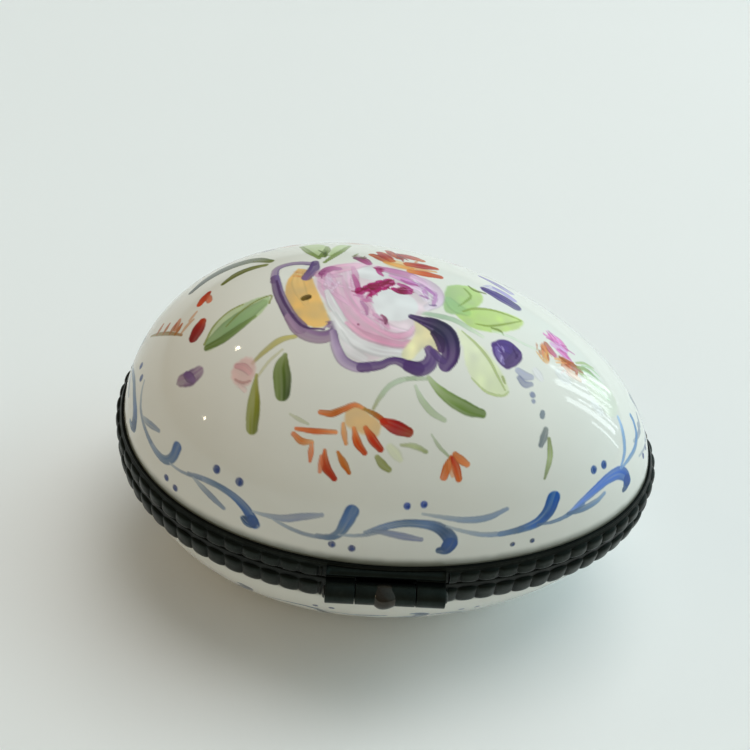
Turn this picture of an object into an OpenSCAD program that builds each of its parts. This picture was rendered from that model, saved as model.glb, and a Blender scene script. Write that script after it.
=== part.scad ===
// Porcelain trinket box in the shape of an egg lying on its side.
// The egg is a body of revolution about X, parted at its middle plane into a
// lid and a base. Each rim is bound by a metal bezel with a gadrooned edge,
// and the bezels are joined by a three-knuckle hinge and a snap clasp.
// The origin is the centre of the flat foot, and +X points to the narrow end.
// The hinge is on the -Y side and the clasp on the +Y side.

/* [Egg] */
// Length of the porcelain egg
egg_l = 64; // [60:0.5:68]
// Greatest width of the porcelain egg
egg_w = 45; // [43:0.5:48]
// How far the widest place sits behind mid-length
egg_shift = 3.5; // [2.5:0.1:4.5]
// Thickness of the porcelain wall
wall_t = 2.2; // [2:0.1:2.5]
// Height of the parting plane above the foot
parting_h = 19; // [18:0.1:20]

/* [Bezels] */
// Height of the lid's bezel
lid_bezel_h = 2.5; // [2.4:0.1:3]
// Height of the base's bezel
base_bezel_h = 3.9; // [3.8:0.1:4.5]
// Thickness of the bezel metal
bezel_t = 0.45; // [0.4:0.05:0.5]
// How far the gadroons stand out beyond the bezel wall
gadroon_out = 0.4; // [0.3:0.05:0.45]
// Number of gadroons around each bezel
gadroon_n = 78; // [70:1:84]
// Gap between the closed bezels
bezel_gap = 0.1; // [0.1:0.05:0.2]
// Height of the locating lip above the parting plane
lip_h = 1.8; // [1.2:0.1:2]

/* [Hinge] */
// Distance from mid-length to the middle of the hinge
hinge_x = 3.1; // [2:0.1:5]
// Distance from the porcelain to the hinge axis
hinge_offset = 1.9; // [1.9:0.05:2.1]
// Radius of the hinge knuckles
knuckle_r = 1.25; // [1.15:0.05:1.25]
// Length of the middle knuckle
middle_knuckle_l = 6.6; // [6:0.1:7]
// Length of each end knuckle
end_knuckle_l = 3.2; // [3:0.1:3.5]
// Radius of the hinge pin
pin_r = 0.45; // [0.4:0.05:0.5]

/* [Clasp] */
// Width of the clasp tongue
clasp_w = 5; // [4:0.5:6]

/* [Hidden] */
$fn = 64;

// Facets
profile_n = 44;           // steps along the egg's profile
rim_n = 120;              // sides of a rim outline
steps_per_gadroon = 4;    // sides of one gadroon

// Rims
side_clear = 0.05;        // clearance between bezel wall and porcelain
wall_out = side_clear + bezel_t;   // outside of the bezel wall, from the porcelain
web_t = 0.35;             // thickness of the bezel's flat web
web_in = 2.3;             // reach of the lid's web inside the porcelain's outline
bond_t = 0.2;             // thickness of the bonding layer on the porcelain's edge
rim_z = bezel_gap / 2 + web_t + bond_t;   // porcelain's edge, from the parting plane
wall_step = [0, 2.2, 3];  // heights at which a bezel wall steps in with the porcelain
lid_gadroon_z = [0.2, 0.7, 1.4, 1.9];         // heights of the lid's gadroon tiers
lid_gadroon_fill = [0.6, 1, 0.6];             // how full each tier is
base_gadroon_z = [0.9, 1.5, 2.2, 3, 3.7];
base_gadroon_fill = [0.6, 1, 1, 0.6];
valley_out = 0.1;         // how far the valleys between gadroons stand out

// Locating lip
lip_clear = 0.3;          // clearance between the lip and the lid's web
lip_t = 0.45;             // thickness of the lip
lip_drop = 1.1;           // how far the lip hangs below the base's web
lip_out = web_in + lip_clear;       // outside of the lip, from the porcelain

// Shells
foot_wall = 2.4;          // thickness of the floor above the foot
far = 100;                // larger than the box

// Hinge, in its own frame: +X along the pin, +Y towards the box
knuckle_gap = 0.1;        // end clearance between knuckles
run_clear = 0.05;         // radial clearance of the pin in the lid's knuckles
hinge_l = middle_knuckle_l + 2 * (end_knuckle_l + knuckle_gap);
leaf_y = 0.95;            // distance from the axis to the front of a leaf
leaf_top = 2.2;           // far edge of a leaf, from the parting plane
lid_leaf_low = 1.5;       // near edge of the lid's leaf above the middle knuckle
base_leaf_low = 1.1;      // near edge of the base's leaf below the end knuckles
foot_low = 0.85;          // near edge of a leaf's foot, where the knuckle has drawn clear of it
tab_t = 0.5;              // thickness of the tab between knuckle and leaf
trim_cut = 0.4;           // space between the gadroons and the hinge or clasp
pin_head_r = 0.75;
pin_head_t = 0.3;
bead_r = knuckle_r + 0.2; // radius of the bead at its middle
bead_edge_r = knuckle_r - 0.15;
bead_w = 2.3;
bead_shift = [0, -0.1, -0.17];   // the bead hangs low, so the open lid clears its top
bead_reach = 0.45;        // how far the bead wraps towards the box

// Clasp, at the widest place
tongue_y = egg_w / 2 + wall_out + gadroon_out + 0.2;   // inside of the tongue
tongue_t = 0.6;
tongue_low = 4.2;         // centre of the rolled end, below the parting plane
roll_r = 0.75;
plate_low = 0.6;          // lower edge of the clasp plate, above the parting plane
plate_top = 2.2;
stud_r = 0.9;
stud_low = 1.9;           // centre of the catch stud, below the parting plane
stud_clear = 0.1;         // clearance between the stud and the tongue

// Radius of an egg of length l and width w at x
function egg_r(x, l, w) =
    w / 2 * sqrt(max(l * l - 4 * x * x, 0) / (l * l + 8 * egg_shift * x + 4 * egg_shift * egg_shift));

// Half outline of the egg, inset by t, with its axis along Y
function egg_profile(t) =
    let (l = egg_l - 2 * t, w = egg_w - 2 * t)
    [for (i = [0 : profile_n]) let (x = -l / 2 * cos(180 * i / profile_n)) [egg_r(x, l, w), x]];

// Point on the porcelain's outline in the parting plane, at angle a
function rim_point(a) =
    let (x = egg_l / 2 * cos(a)) [x, sign(sin(a)) * egg_r(x, egg_l, egg_w)];

// Outward normal of the outline at angle a
function rim_normal(a) =
    let (d = rim_point(a + 0.5) - rim_point(a - 0.5)) [d[1], -d[0]] / norm(d);

// Length of the outline from angle 0 up to each degree, and the angle at a fraction of it
rim_length = [for (a = 0, s = 0; a <= 360; a = a + 1, s = s + norm(rim_point(a) - rim_point(a - 1)))
    [s, a]];
function rim_angle(fraction) = lookup(fraction * rim_length[360][0], rim_length);

// How far the porcelain draws in at height h from the parting plane
function rim_recess(a, h) =
    h * h * abs(rim_normal(a)[1]) / (2 * abs(rim_point(a)[1]));

// Point off outside the porcelain at height h
function rim_offset_point(a, off, h) =
    rim_point(a) + (off - rim_recess(a, h)) * rim_normal(a);

// Outline off outside the porcelain at height h
function rim_outline(off, h = 0) =
    [for (i = [0 : rim_n - 1]) rim_offset_point(360 * (i + 0.5) / rim_n, off, h)];

// Height of the wall step that the height h belongs to
function step_below(h) = h < wall_step[1] ? wall_step[0] : h < wall_step[2] ? wall_step[1] : wall_step[2];

// Outline with a row of evenly spaced bumps that stand out from the bezel wall at height h
function gadroon_outline(out, h) =
    let (steps = gadroon_n * steps_per_gadroon)
    [for (i = [0 : steps - 1])
        let (bump = abs(sin(180 * (i + 0.5) / steps_per_gadroon)),
             off = wall_out + valley_out + (out - valley_out) * bump)
        rim_offset_point(rim_angle((i + 0.5) / steps), off, h)];

hinge_a = -acos(2 * hinge_x / egg_l);   // place of the hinge on the outline
hinge_n = rim_normal(hinge_a);
hinge_pos = rim_point(hinge_a) + hinge_offset * hinge_n;
hinge_turn = atan2(hinge_n[0], -hinge_n[1]);

// Lifts its children from the parting plane to their place above the foot
module at_parting() { translate([0, 0, parting_h]) children(); }

// Turns what is drawn for the lid's side of the parting plane to the base's side
module for_base() { at_parting() mirror([0, 0, 1]) children(); }

// Places its children in the hinge's frame
module in_hinge() { translate([hinge_pos[0], hinge_pos[1], 0]) rotate([0, 0, hinge_turn]) children(); }

// Solid from z0 to z1 between two outlines
module ring(outer, inner, z0, z1) {
    translate([0, 0, z0]) linear_extrude(z1 - z0) difference() {
        polygon(outer);
        polygon(inner);
    }
}

// Solid egg lying along X, inset by t
module egg(t) { rotate([0, 90, 0]) rotate_extrude() polygon(egg_profile(t)); }

// Everything between two heights
module slab(z0, z1) { translate([-far / 2, -far / 2, z0]) cube([far, far, z1 - z0]); }

// Bezel of height h: flat web and a wall that steps in with the porcelain
module bezel(reach, h) {
    web_top = bezel_gap / 2 + web_t;
    ring(rim_outline(wall_out), rim_outline(-reach), bezel_gap / 2, web_top);
    for (i = [0 : 2]) if (wall_step[i] < h)
        ring(rim_outline(wall_out, wall_step[i]), rim_outline(side_clear, wall_step[i]),
             max(wall_step[i], web_top), i < 2 ? min(wall_step[i + 1], h) : h);
}

// Gadrooned trim in tiers, open at the hinge and the clasp
module gadroon_trim(tiers, fill) {
    difference() {
        union() for (i = [0 : len(fill) - 1]) {
            h = step_below(tiers[i]);
            ring(gadroon_outline(gadroon_out * fill[i], h), rim_outline(wall_out, h),
                 tiers[i], tiers[i + 1]);
        }
        in_hinge() translate([-hinge_l / 2 - trim_cut, -2, 0]) cube([hinge_l + 2 * trim_cut, 6, far]);
        translate([-egg_shift - clasp_w / 2 - trim_cut, 0, 0]) cube([clasp_w + 2 * trim_cut, far, far]);
    }
}

module bonding_ring() {
    ring(rim_outline(-0.1), rim_outline(-wall_t + 0.1), bezel_gap / 2 + web_t, rim_z);
}

// Strip between the front plane of the leaves and the bezel wall, from x0 to x1 of the hinge
module leaf_strip(x0, x1, z0, z1) {
    translate([0, 0, z0]) linear_extrude(z1 - z0) difference() {
        translate(hinge_pos) rotate(hinge_turn) translate([x0, leaf_y]) square([x1 - x0, 2]);
        polygon(rim_outline(wall_out));
    }
}

// Cylinder along the hinge's axis from x0 to x1
module along_pin(x0, x1, r) { translate([x0, 0, 0]) rotate([0, 90, 0]) cylinder(r = r, h = x1 - x0); }

// Knuckle from x0 to x1 with its tab on the upper side
module knuckle(x0, x1, bore_r) {
    difference() {
        union() {
            along_pin(x0, x1, knuckle_r);
            translate([x0, 0, knuckle_r - tab_t]) cube([x1 - x0, leaf_y, tab_t]);
        }
        along_pin(x0 - 1, x1 + 1, bore_r);
    }
}

module lid_shell() {
    color("ivory") at_parting() difference() {
        intersection() {
            egg(0);
            slab(rim_z, far);
        }
        egg(wall_t);
    }
}

module base_shell() {
    color("ivory") at_parting() difference() {
        intersection() {
            egg(0);
            slab(-parting_h, -rim_z);
        }
        intersection() {
            egg(wall_t);
            slab(foot_wall - parting_h, far);
        }
    }
}

module lid_bezel() { color("darkslategray") at_parting() bezel(web_in, lid_bezel_h); }

module base_bezel() { color("darkslategray") for_base() bezel(lip_out, base_bezel_h); }

module lid_gadroon_trim() {
    color("dimgray") at_parting() gadroon_trim(lid_gadroon_z, lid_gadroon_fill);
}

module base_gadroon_trim() {
    color("dimgray") for_base() gadroon_trim(base_gadroon_z, base_gadroon_fill);
}

module lid_bonding_ring() { color("gainsboro") at_parting() bonding_ring(); }

module base_bonding_ring() { color("gainsboro") for_base() bonding_ring(); }

module locating_lip() {
    color("slategray") at_parting()
        ring(rim_outline(-lip_out), rim_outline(-lip_out - lip_t),
             -bezel_gap / 2 - web_t - lip_drop, lip_h);
}

module lid_hinge_leaf() {
    color("darkslategray") at_parting() {
        leaf_strip(-hinge_l / 2, hinge_l / 2, lid_leaf_low, leaf_top);
        leaf_strip(-hinge_l / 2, -hinge_l / 2 + end_knuckle_l, foot_low, lid_leaf_low);
        leaf_strip(hinge_l / 2 - end_knuckle_l, hinge_l / 2, foot_low, lid_leaf_low);
    }
}

module base_hinge_leaf() {
    color("darkslategray") for_base() {
        leaf_strip(-hinge_l / 2, hinge_l / 2, base_leaf_low + knuckle_gap, leaf_top);
        leaf_strip(-middle_knuckle_l / 2, middle_knuckle_l / 2, foot_low, base_leaf_low + knuckle_gap);
    }
}

module lid_knuckle_left() {
    color("gray") at_parting() in_hinge()
        knuckle(-hinge_l / 2, -hinge_l / 2 + end_knuckle_l, pin_r + run_clear);
}

module lid_knuckle_right() {
    color("gray") at_parting() in_hinge()
        knuckle(hinge_l / 2 - end_knuckle_l, hinge_l / 2, pin_r + run_clear);
}

module base_knuckle() {
    color("gray") for_base() in_hinge() knuckle(-middle_knuckle_l / 2, middle_knuckle_l / 2, pin_r);
}

// Rounded bead soldered around the front of the middle knuckle
module hinge_bead() {
    rise = bead_r - bead_edge_r;
    arc_r = (bead_w * bead_w / 4 + rise * rise) / (2 * rise);
    arc_a = asin(bead_w / 2 / arc_r);
    arc = [for (i = [-6 : 6]) let (a = arc_a * i / 6) [bead_r - arc_r * (1 - cos(a)), arc_r * sin(a)]];
    color("gray") at_parting() in_hinge() difference() {
        intersection() {
            translate(bead_shift) rotate([0, 90, 0])
                rotate_extrude() polygon(concat([[0, -bead_w / 2]], arc, [[0, bead_w / 2]]));
            translate([-bead_w, -far, -far / 2]) cube([2 * bead_w, far + bead_reach, far]);
        }
        along_pin(-bead_w, bead_w, knuckle_r);
    }
}

module hinge_pin() {
    end = hinge_l / 2 + run_clear;
    color("silver") at_parting() in_hinge() {
        along_pin(-end, end, pin_r);
        along_pin(-end - pin_head_t, -end, pin_head_r);
        along_pin(end, end + pin_head_t, pin_head_r);
    }
}

// Block that carries the tongue on the lid's bezel
module clasp_plate() {
    color("darkslategray") at_parting() translate([0, 0, plate_low])
        linear_extrude(plate_top - plate_low) difference() {
            translate([-egg_shift - clasp_w / 2, 0]) square([clasp_w, tongue_y]);
            polygon(rim_outline(wall_out));
        }
}

// Springy tongue with a rolled end for the fingertip
module clasp_tongue() {
    color("gray") at_parting() translate([-egg_shift - clasp_w / 2, tongue_y, 0]) {
        translate([0, 0, -tongue_low]) cube([clasp_w, tongue_t, tongue_low + plate_top]);
        translate([0, roll_r, -tongue_low]) rotate([0, 90, 0]) cylinder(r = roll_r, h = clasp_w);
    }
}

// Round stud on the base's bezel that the tongue snaps over
module catch_stud() {
    wall_y = egg_w / 2 + wall_out - 0.05;
    color("gray") at_parting() translate([-egg_shift, wall_y, -stud_low])
        rotate([-90, 0, 0]) cylinder(r = stud_r, h = tongue_y - stud_clear - wall_y);
}

lid_shell();
lid_bezel();
lid_gadroon_trim();
lid_bonding_ring();
lid_hinge_leaf();
lid_knuckle_left();
lid_knuckle_right();
clasp_plate();
clasp_tongue();
base_shell();
base_bezel();
base_gadroon_trim();
base_bonding_ring();
locating_lip();
base_hinge_leaf();
base_knuckle();
hinge_bead();
hinge_pin();
catch_stud();
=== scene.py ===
"""Looks of the porcelain trinket box: painted glazed porcelain in blackened metal bezels."""
import math

import bpy
import numpy as np
from mathutils import Matrix, Vector


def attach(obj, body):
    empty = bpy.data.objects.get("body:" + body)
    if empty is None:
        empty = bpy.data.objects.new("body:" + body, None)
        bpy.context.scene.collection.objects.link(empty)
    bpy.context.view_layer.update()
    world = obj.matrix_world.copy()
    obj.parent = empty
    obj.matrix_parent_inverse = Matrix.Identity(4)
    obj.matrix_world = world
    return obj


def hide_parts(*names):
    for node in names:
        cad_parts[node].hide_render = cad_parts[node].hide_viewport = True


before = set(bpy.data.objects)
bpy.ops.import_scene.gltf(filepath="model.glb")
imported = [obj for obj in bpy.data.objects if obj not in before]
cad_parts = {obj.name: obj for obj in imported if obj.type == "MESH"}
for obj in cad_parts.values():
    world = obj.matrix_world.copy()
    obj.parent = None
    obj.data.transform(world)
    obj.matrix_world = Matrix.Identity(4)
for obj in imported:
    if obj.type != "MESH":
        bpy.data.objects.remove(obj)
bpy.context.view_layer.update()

# ---------------------------------------------------------------- design values, in millimetres
# Heights called z are measured from the parting plane, between lid and base.
EGG_L, EGG_W, EGG_SHIFT = 64.0, 45.0, 3.5
WALL_T = 2.2
PARTING_H = 19.0
FOOT_WALL = 2.4
LID_BEZEL_H, BASE_BEZEL_H, BEZEL_T, BEZEL_GAP = 2.5, 3.9, 0.45, 0.1
BAND_LOW = 3.3  # where the painted border's coordinates start, up the wall
SIDE_CLEAR = 0.05
WALL_OUT = SIDE_CLEAR + BEZEL_T  # how far the bezel's wall stands out from the porcelain
WEB_T, BOND_T, WEB_IN = 0.35, 0.2, 2.3
WEB_TOP = BEZEL_GAP / 2 + WEB_T
RIM_Z = WEB_TOP + BOND_T  # height of the porcelain's edge
LIP_H, LIP_T, LIP_CLEAR, LIP_DROP = 1.8, 0.45, 0.3, 1.1
LIP_OUT = WEB_IN + LIP_CLEAR
GADROON_N, GADROON_OUT = 78, 0.4
LID_GADROONS, BASE_GADROONS = (0.2, 1.9), (0.9, 3.7)
HINGE_X, HINGE_OFFSET = 3.1, 1.9
KNUCKLE_R, MIDDLE_L, END_L, KNUCKLE_GAP = 1.25, 6.6, 3.2, 0.1
HINGE_L = MIDDLE_L + 2 * (END_L + KNUCKLE_GAP)
LEAF_Y, LEAF_TOP, LEAF_FOOT = 0.95, 2.2, 0.85
LID_LEAF_LOW, BASE_LEAF_LOW = 1.5, 1.2
TAB_T = 0.5
CLASP_W, CLASP_TOP, TONGUE_T, TONGUE_LOW, ROLL_R = 5.0, 2.2, 0.6, 4.2, 0.75
TONGUE_Y = EGG_W / 2 + WALL_OUT + GADROON_OUT + 0.2
BODY = {1: "lid", -1: "base"}  # by side of the parting plane
MM = 0.001


# ---------------------------------------------------------------- shape of the egg
def egg_r(x, inset=0.0):
    """Radius of the egg at x, inset from the outside."""
    length, width = EGG_L - 2 * inset, EGG_W - 2 * inset
    spare = np.maximum(length**2 - 4 * x * x, 0)
    return width / 2 * np.sqrt(spare / (length**2 + 8 * EGG_SHIFT * x + 4 * EGG_SHIFT**2))


RIM_STEPS = 8000
BOW_LOW, BOW_HIGH = 12.0, 26.0  # limits of the wall's radius in section


class Rim:
    """The porcelain's outline in the parting plane, by arc length s.

    s starts at the blunt end and runs along the hinge's side first."""

    def __init__(self):
        a = np.linspace(math.pi, 3 * math.pi, RIM_STEPS)
        self.x = EGG_L / 2 * np.cos(a)
        self.y = np.sign(np.sin(a)) * egg_r(self.x)
        self.s = np.r_[0, np.cumsum(np.hypot(np.diff(self.x), np.diff(self.y)))]
        nx, ny = np.gradient(self.y), -np.gradient(self.x)
        size = np.hypot(nx, ny)
        self.nx, self.ny = nx / size, ny / size
        self.length = self.s[-1]

    def at(self, s):
        """x, y and outward normal at s."""
        s = np.mod(s, self.length)
        return [np.interp(s, self.s, v) for v in (self.x, self.y, self.nx, self.ny)]

    def bow(self, s):
        """Radius with which the wall curves over, upwards from the rim."""
        x, _, _, ny = self.at(s)
        return np.clip(egg_r(x) / np.maximum(np.abs(ny), 0.03), BOW_LOW, BOW_HIGH)


RIM = Rim()


def on_band(points, side):
    """(s, h) to surface points: s along the rim, h across the porcelain from BAND_LOW."""
    s, h = np.asarray(points, float).T
    x, y, nx, ny = RIM.at(s)
    bow = RIM.bow(s)
    turn = (h + BAND_LOW) / bow
    x = x - nx * bow * (1 - np.cos(turn))
    y = y - ny * bow * (1 - np.cos(turn))
    z = bow * np.sin(turn)
    fit = egg_r(x) / np.hypot(y, z)
    return np.stack([x, y * fit, side * z * fit], -1)


def on_top(points):
    """(x, y) seen from above to points on the lid's porcelain."""
    x, y = np.asarray(points, float).T
    return np.stack([x, y, np.sqrt(np.maximum(egg_r(x) ** 2 - y * y, 0))], -1)


# ---------------------------------------------------------------- mesh helpers
def new_piece(name, verts, faces, body, material):
    """A smooth mesh piece, in millimetres from the parting plane, that stands for the CAD node name."""
    mesh = bpy.data.meshes.new(name)
    verts = (np.asarray(verts, float) + [0, 0, PARTING_H]) * MM
    mesh.vertices.add(len(verts))
    mesh.vertices.foreach_set("co", verts.astype(np.float32).ravel())
    loops = np.concatenate([np.asarray(f) for f in faces])
    starts = np.r_[0, np.cumsum([len(f) for f in faces])[:-1]]
    mesh.loops.add(len(loops))
    mesh.loops.foreach_set("vertex_index", loops.astype(np.int32))
    mesh.polygons.add(len(starts))
    mesh.polygons.foreach_set("loop_start", starts.astype(np.int32))
    mesh.polygons.foreach_set("use_smooth", np.full(len(starts), True))
    mesh.update(calc_edges=True)
    mesh.validate()
    piece = bpy.data.objects.new(name, mesh)
    bpy.context.scene.collection.objects.link(piece)
    mesh.materials.append(material)
    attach(piece, body)
    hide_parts(name)
    return piece


def set_colour(piece, name, values):
    """Stores a linear colour or a single value per vertex."""
    layer = piece.data.color_attributes.new(name, "FLOAT_COLOR", "POINT")
    values = np.asarray(values, np.float32)
    if values.ndim == 1:
        values = np.repeat(values[:, None], 3, 1)
    layer.data.foreach_set("color", np.c_[values, np.ones(len(values), np.float32)].ravel())


def wrap_faces(rows, columns, close_rows, close_columns):
    """Quads of a grid whose points run row by row."""
    i = np.arange(rows if close_rows else rows - 1)
    j = np.arange(columns if close_columns else columns - 1)
    i, j = np.meshgrid(i, j, indexing="ij")
    i2, j2 = (i + 1) % rows, (j + 1) % columns
    quads = np.stack([i * columns + j, i2 * columns + j, i2 * columns + j2, i * columns + j2], -1)
    return quads.reshape(-1, 4)


def loft(loops, closed=False):
    """Vertices and faces of a tube through equal closed loops, capped unless it closes on itself."""
    loops = np.asarray(loops, float)
    rows, columns = loops.shape[:2]
    faces = [tuple(f) for f in wrap_faces(rows, columns, closed, True)]
    if not closed:
        faces.append(tuple(range(columns))[::-1])
        faces.append(tuple((rows - 1) * columns + k for k in range(columns)))
    return loops.reshape(-1, 3), faces


def flipped(faces):
    """Faces that look the other way."""
    return [f[::-1] for f in faces]


def join_parts(parts):
    """Vertices and faces of several closed parts as one mesh."""
    verts, faces, start = [], [], 0
    for v, f in parts:
        verts.append(v)
        faces += [tuple(i + start for i in face) for face in f]
        start += len(v)
    return np.vstack(verts), faces


def ring_points(s, off, z, side):
    """Points off outside the porcelain at height z along the rim, one row for each s."""
    x, y, nx, ny = RIM.at(s)
    bow = RIM.bow(s)
    off = np.broadcast_to(off, (len(s), np.shape(off)[-1]))
    z = np.broadcast_to(z, (len(s), np.shape(z)[-1]))
    out = off - z * z / (2 * bow[:, None])
    return np.stack([x[:, None] + nx[:, None] * out, y[:, None] + ny[:, None] * out, side * z], -1)


def smooth_path(points, step):
    """A curve through given points, evenly sampled."""
    points = np.asarray(points, float)
    if len(points) == 2:
        points = np.array([points[0], points.mean(0), points[1]])
    ends = np.vstack([2 * points[0] - points[1], points, 2 * points[-1] - points[-2]])
    t = np.linspace(0, 1, 16, endpoint=False)[:, None]
    parts = []
    for a, b, c, d in zip(ends[:-3], ends[1:-2], ends[2:-1], ends[3:]):
        bend, twist = 2 * a - 5 * b + 4 * c - d, 3 * b - a - 3 * c + d
        parts.append(0.5 * (2 * b + (c - a) * t + bend * t**2 + twist * t**3))
    curve = np.vstack(parts + [points[-1:]])
    run = np.r_[0, np.cumsum(np.linalg.norm(np.diff(curve, axis=0), axis=1))]
    count = max(int(run[-1] / step), 4)
    even = np.linspace(0, run[-1], count)
    return np.stack([np.interp(even, run, curve[:, k]) for k in range(curve.shape[1])], -1)


# ---------------------------------------------------------------- noise
class Noise:
    """Smooth, repeatable value noise in two or three dimensions, from 0 to 1."""

    def __init__(self, seed):
        self.table = np.random.default_rng(seed).random(4096)

    def _lattice(self, *cells):
        """The value at the corner of a cell."""
        key = np.zeros_like(cells[0])
        for cell, prime in zip(cells, (73856093, 19349663, 83492791)):
            key = key ^ (cell * prime)
        return self.table[key & 4095]

    def __call__(self, *coords):
        cells = [np.floor(c).astype(np.int64) for c in coords]
        parts = [c - i for c, i in zip(coords, cells)]
        parts = [f * f * (3 - 2 * f) for f in parts]
        total = 0
        for corner in range(2 ** len(coords)):
            weight, shifted = 1, []
            for k, (cell, part) in enumerate(zip(cells, parts)):
                bit = corner >> k & 1
                shifted.append(cell + bit)
                weight = weight * (part if bit else 1 - part)
            total = total + weight * self._lattice(*shifted)
        return total


NOISE = Noise(7)


# ---------------------------------------------------------------- painter
SHADE = 0.64   # share of the light that white glaze returns where the photograph shows it
VEIL = 0.012   # light that the glaze's own sheen adds over the pigment
PIGMENT_LOW, PIGMENT_HIGH = 0.004, 0.8
PATH_STEP = 0.12   # distance between the points of a stroke's path
PATH_CHUNK = 48    # points of a path that are compared with the surface at a time


def rgb(text):
    """Display colour from six hex digits."""
    return np.array([int(text[k:k + 2], 16) for k in (0, 2, 4)]) / 255


def to_linear(c):
    """Linear light from display values."""
    return np.where(c <= 0.04045, c / 12.92, ((c + 0.055) / 1.055) ** 2.4)


def to_display(c):
    """Display values from linear light."""
    return np.where(c <= 0.0031308, c * 12.92, 1.055 * np.maximum(c, 0) ** (1 / 2.4) - 0.055)


def pigment(text):
    """The pigment that looks like the six hex digits once it is shaded and glazed."""
    return to_display(np.clip((to_linear(rgb(text)) - VEIL) / SHADE, PIGMENT_LOW, PIGMENT_HIGH))


def smoothstep(v):
    """A smooth rise from 0 at 0 to 1 at 1."""
    v = np.clip(v, 0, 1)
    return v * v * (3 - 2 * v)


class Canvas:
    """Vertices of a glazed surface, painted with brush strokes."""

    def __init__(self, points, normals, ground):
        self.points, self.normals = points, normals
        self.colour = np.tile(rgb(ground), (len(points), 1))
        self.enamel = np.zeros(len(points))
        self.wobble = NOISE(*(points.T * 0.9)) - 0.5
        self.speck = NOISE(*(points.T * 3.1)) - 0.5

    def near(self, path, reach):
        """Indices of the vertices in a box round the path."""
        low, high = path.min(0) - reach, path.max(0) + reach
        p = self.points
        inside = (p[:, 0] > low[0]) & (p[:, 0] < high[0]) & (p[:, 1] > low[1]) & (p[:, 1] < high[1])
        inside &= (p[:, 2] > low[2]) & (p[:, 2] < high[2])
        return np.nonzero(inside)[0]

    def stroke(self, path, width, colour, opacity=0.9, soft=0.14, streak=0.25, pool=0.15, side=None,
               seed=0):
        """A brush stroke along surface points.

        width lists half-widths and colour lists colours, both evenly spread along it. side is the
        colour towards its right edge, streak the bristle marks and pool the darker rim of the paint."""
        path = smooth_path(path, PATH_STEP)
        ease = len(path) // (2 * len(width)) * 2 + 1
        width = np.interp(np.linspace(0, 1, len(path)), np.linspace(0, 1, len(width)), width)
        width = np.convolve(np.pad(width, ease // 2, "edge"), np.ones(ease) / ease, "valid")
        near = self.near(path, width.max() + soft)
        if len(near) == 0:
            return
        p = self.points[near]
        best = np.full(len(p), 1e9)
        index = np.zeros(len(p), int)
        for k in range(0, len(path), PATH_CHUNK):
            chunk = slice(k, k + PATH_CHUNK)
            gap = np.linalg.norm(p[:, None] - path[None, chunk], axis=2) - width[None, chunk]
            low = gap.argmin(1)
            value = gap[np.arange(len(p)), low]
            better = value < best
            best[better], index[better] = value[better], low[better] + k
        keep = best < soft
        near, p, index, best = near[keep], p[keep], index[keep], best[keep]
        along = index / (len(path) - 1)
        heading = np.gradient(path, axis=0)[index]
        across = np.cross(heading, self.normals[near])
        across /= np.maximum(np.linalg.norm(across, axis=1), 1e-9)[:, None]
        q = ((p - path[index]) * across).sum(1) / np.maximum(width[index], 0.05)
        run = along * len(path) * PATH_STEP
        bristle = NOISE(q * 3.2 + seed * 9.7 + 50, run * 0.35 + seed * 3.1 + 50)
        tones = np.array([pigment(c) for c in colour])
        tone = np.stack([np.interp(along, np.linspace(0, 1, len(tones)), tones[:, k]) for k in range(3)],
                        -1)
        if side is not None:
            tone = tone + (pigment(side) - tone) * smoothstep(q * 0.5 + 0.5)[:, None]
        tone = tone * (1 - pool * smoothstep((np.abs(q) - 0.55) / 0.45))[:, None]
        tone = tone * (1 + (0.5 - bristle)[:, None] * streak * 0.35)
        mask = smoothstep((soft * 0.5 - best) / soft + self.speck[near] * 0.25)
        alpha = np.clip(mask * opacity * (1 - streak * (bristle - 0.3)), 0, 1)
        self.blend(near, tone, alpha)

    def shade_edge(self, edge, reach=1.5, depth=0.5):
        """Painted shade along a bezel's edge, with some tarnish: the glaze is darkened towards the bezel.
        """
        height = np.abs(self.points[:, 2]) - edge - self.wobble * 0.15
        amount = depth * smoothstep(1 - height / reach) ** 1.5
        self.colour *= 1 - amount[:, None] * np.array([0.96, 0.94, 1.0])

    def blend(self, near, tone, alpha):
        """Lays tone over the vertices near, as thickly as alpha says."""
        self.colour[near] += (np.clip(tone, 0, 1) - self.colour[near]) * alpha[:, None]
        self.enamel[near] = np.maximum(self.enamel[near], alpha)

    def patch(self, outline, colour, opacity=0.85, soft=0.3, towards=None, direction=(1, 0), mottle=0.2):
        """A soft-edged filled shape, given by points seen from above."""
        shape = smooth_path(np.vstack([outline, outline[:1]]), 0.3)
        near = self.near(on_top(shape), soft + 1.0)
        if len(near) == 0:
            return
        p = self.points[near][:, :2]
        a, b = shape, np.roll(shape, -1, 0)
        distance = np.full(len(p), 1e9)
        inside = np.zeros(len(p), bool)
        for start, end in zip(a, b):
            edge = end - start
            size = max(edge @ edge, 1e-12)
            t = np.clip((p - start) @ edge / size, 0, 1)
            distance = np.minimum(distance, np.linalg.norm(p - start - t[:, None] * edge, axis=1))
            crosses = (start[1] > p[:, 1]) != (end[1] > p[:, 1])
            cut = start[0] + (p[:, 1] - start[1]) / (edge[1] if edge[1] else 1e-9) * edge[0]
            inside ^= crosses & (p[:, 0] < cut)
        signed = np.where(inside, distance, -distance)
        alpha = smoothstep(signed / soft + 0.5 + self.speck[near] * 0.3)
        tone = np.tile(pigment(colour), (len(p), 1))
        if towards is not None:
            way = np.array(direction, float) / np.linalg.norm(direction)
            reach = p @ way
            reach = (reach - reach.min()) / max(np.ptp(reach), 1e-9)
            tone = tone + (pigment(towards) - tone) * smoothstep(reach)[:, None]
        tone = tone * (1 + self.wobble[near] * mottle * 0.5)[:, None]
        self.blend(near, tone, alpha * opacity * (1 + self.wobble[near] * mottle))


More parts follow.
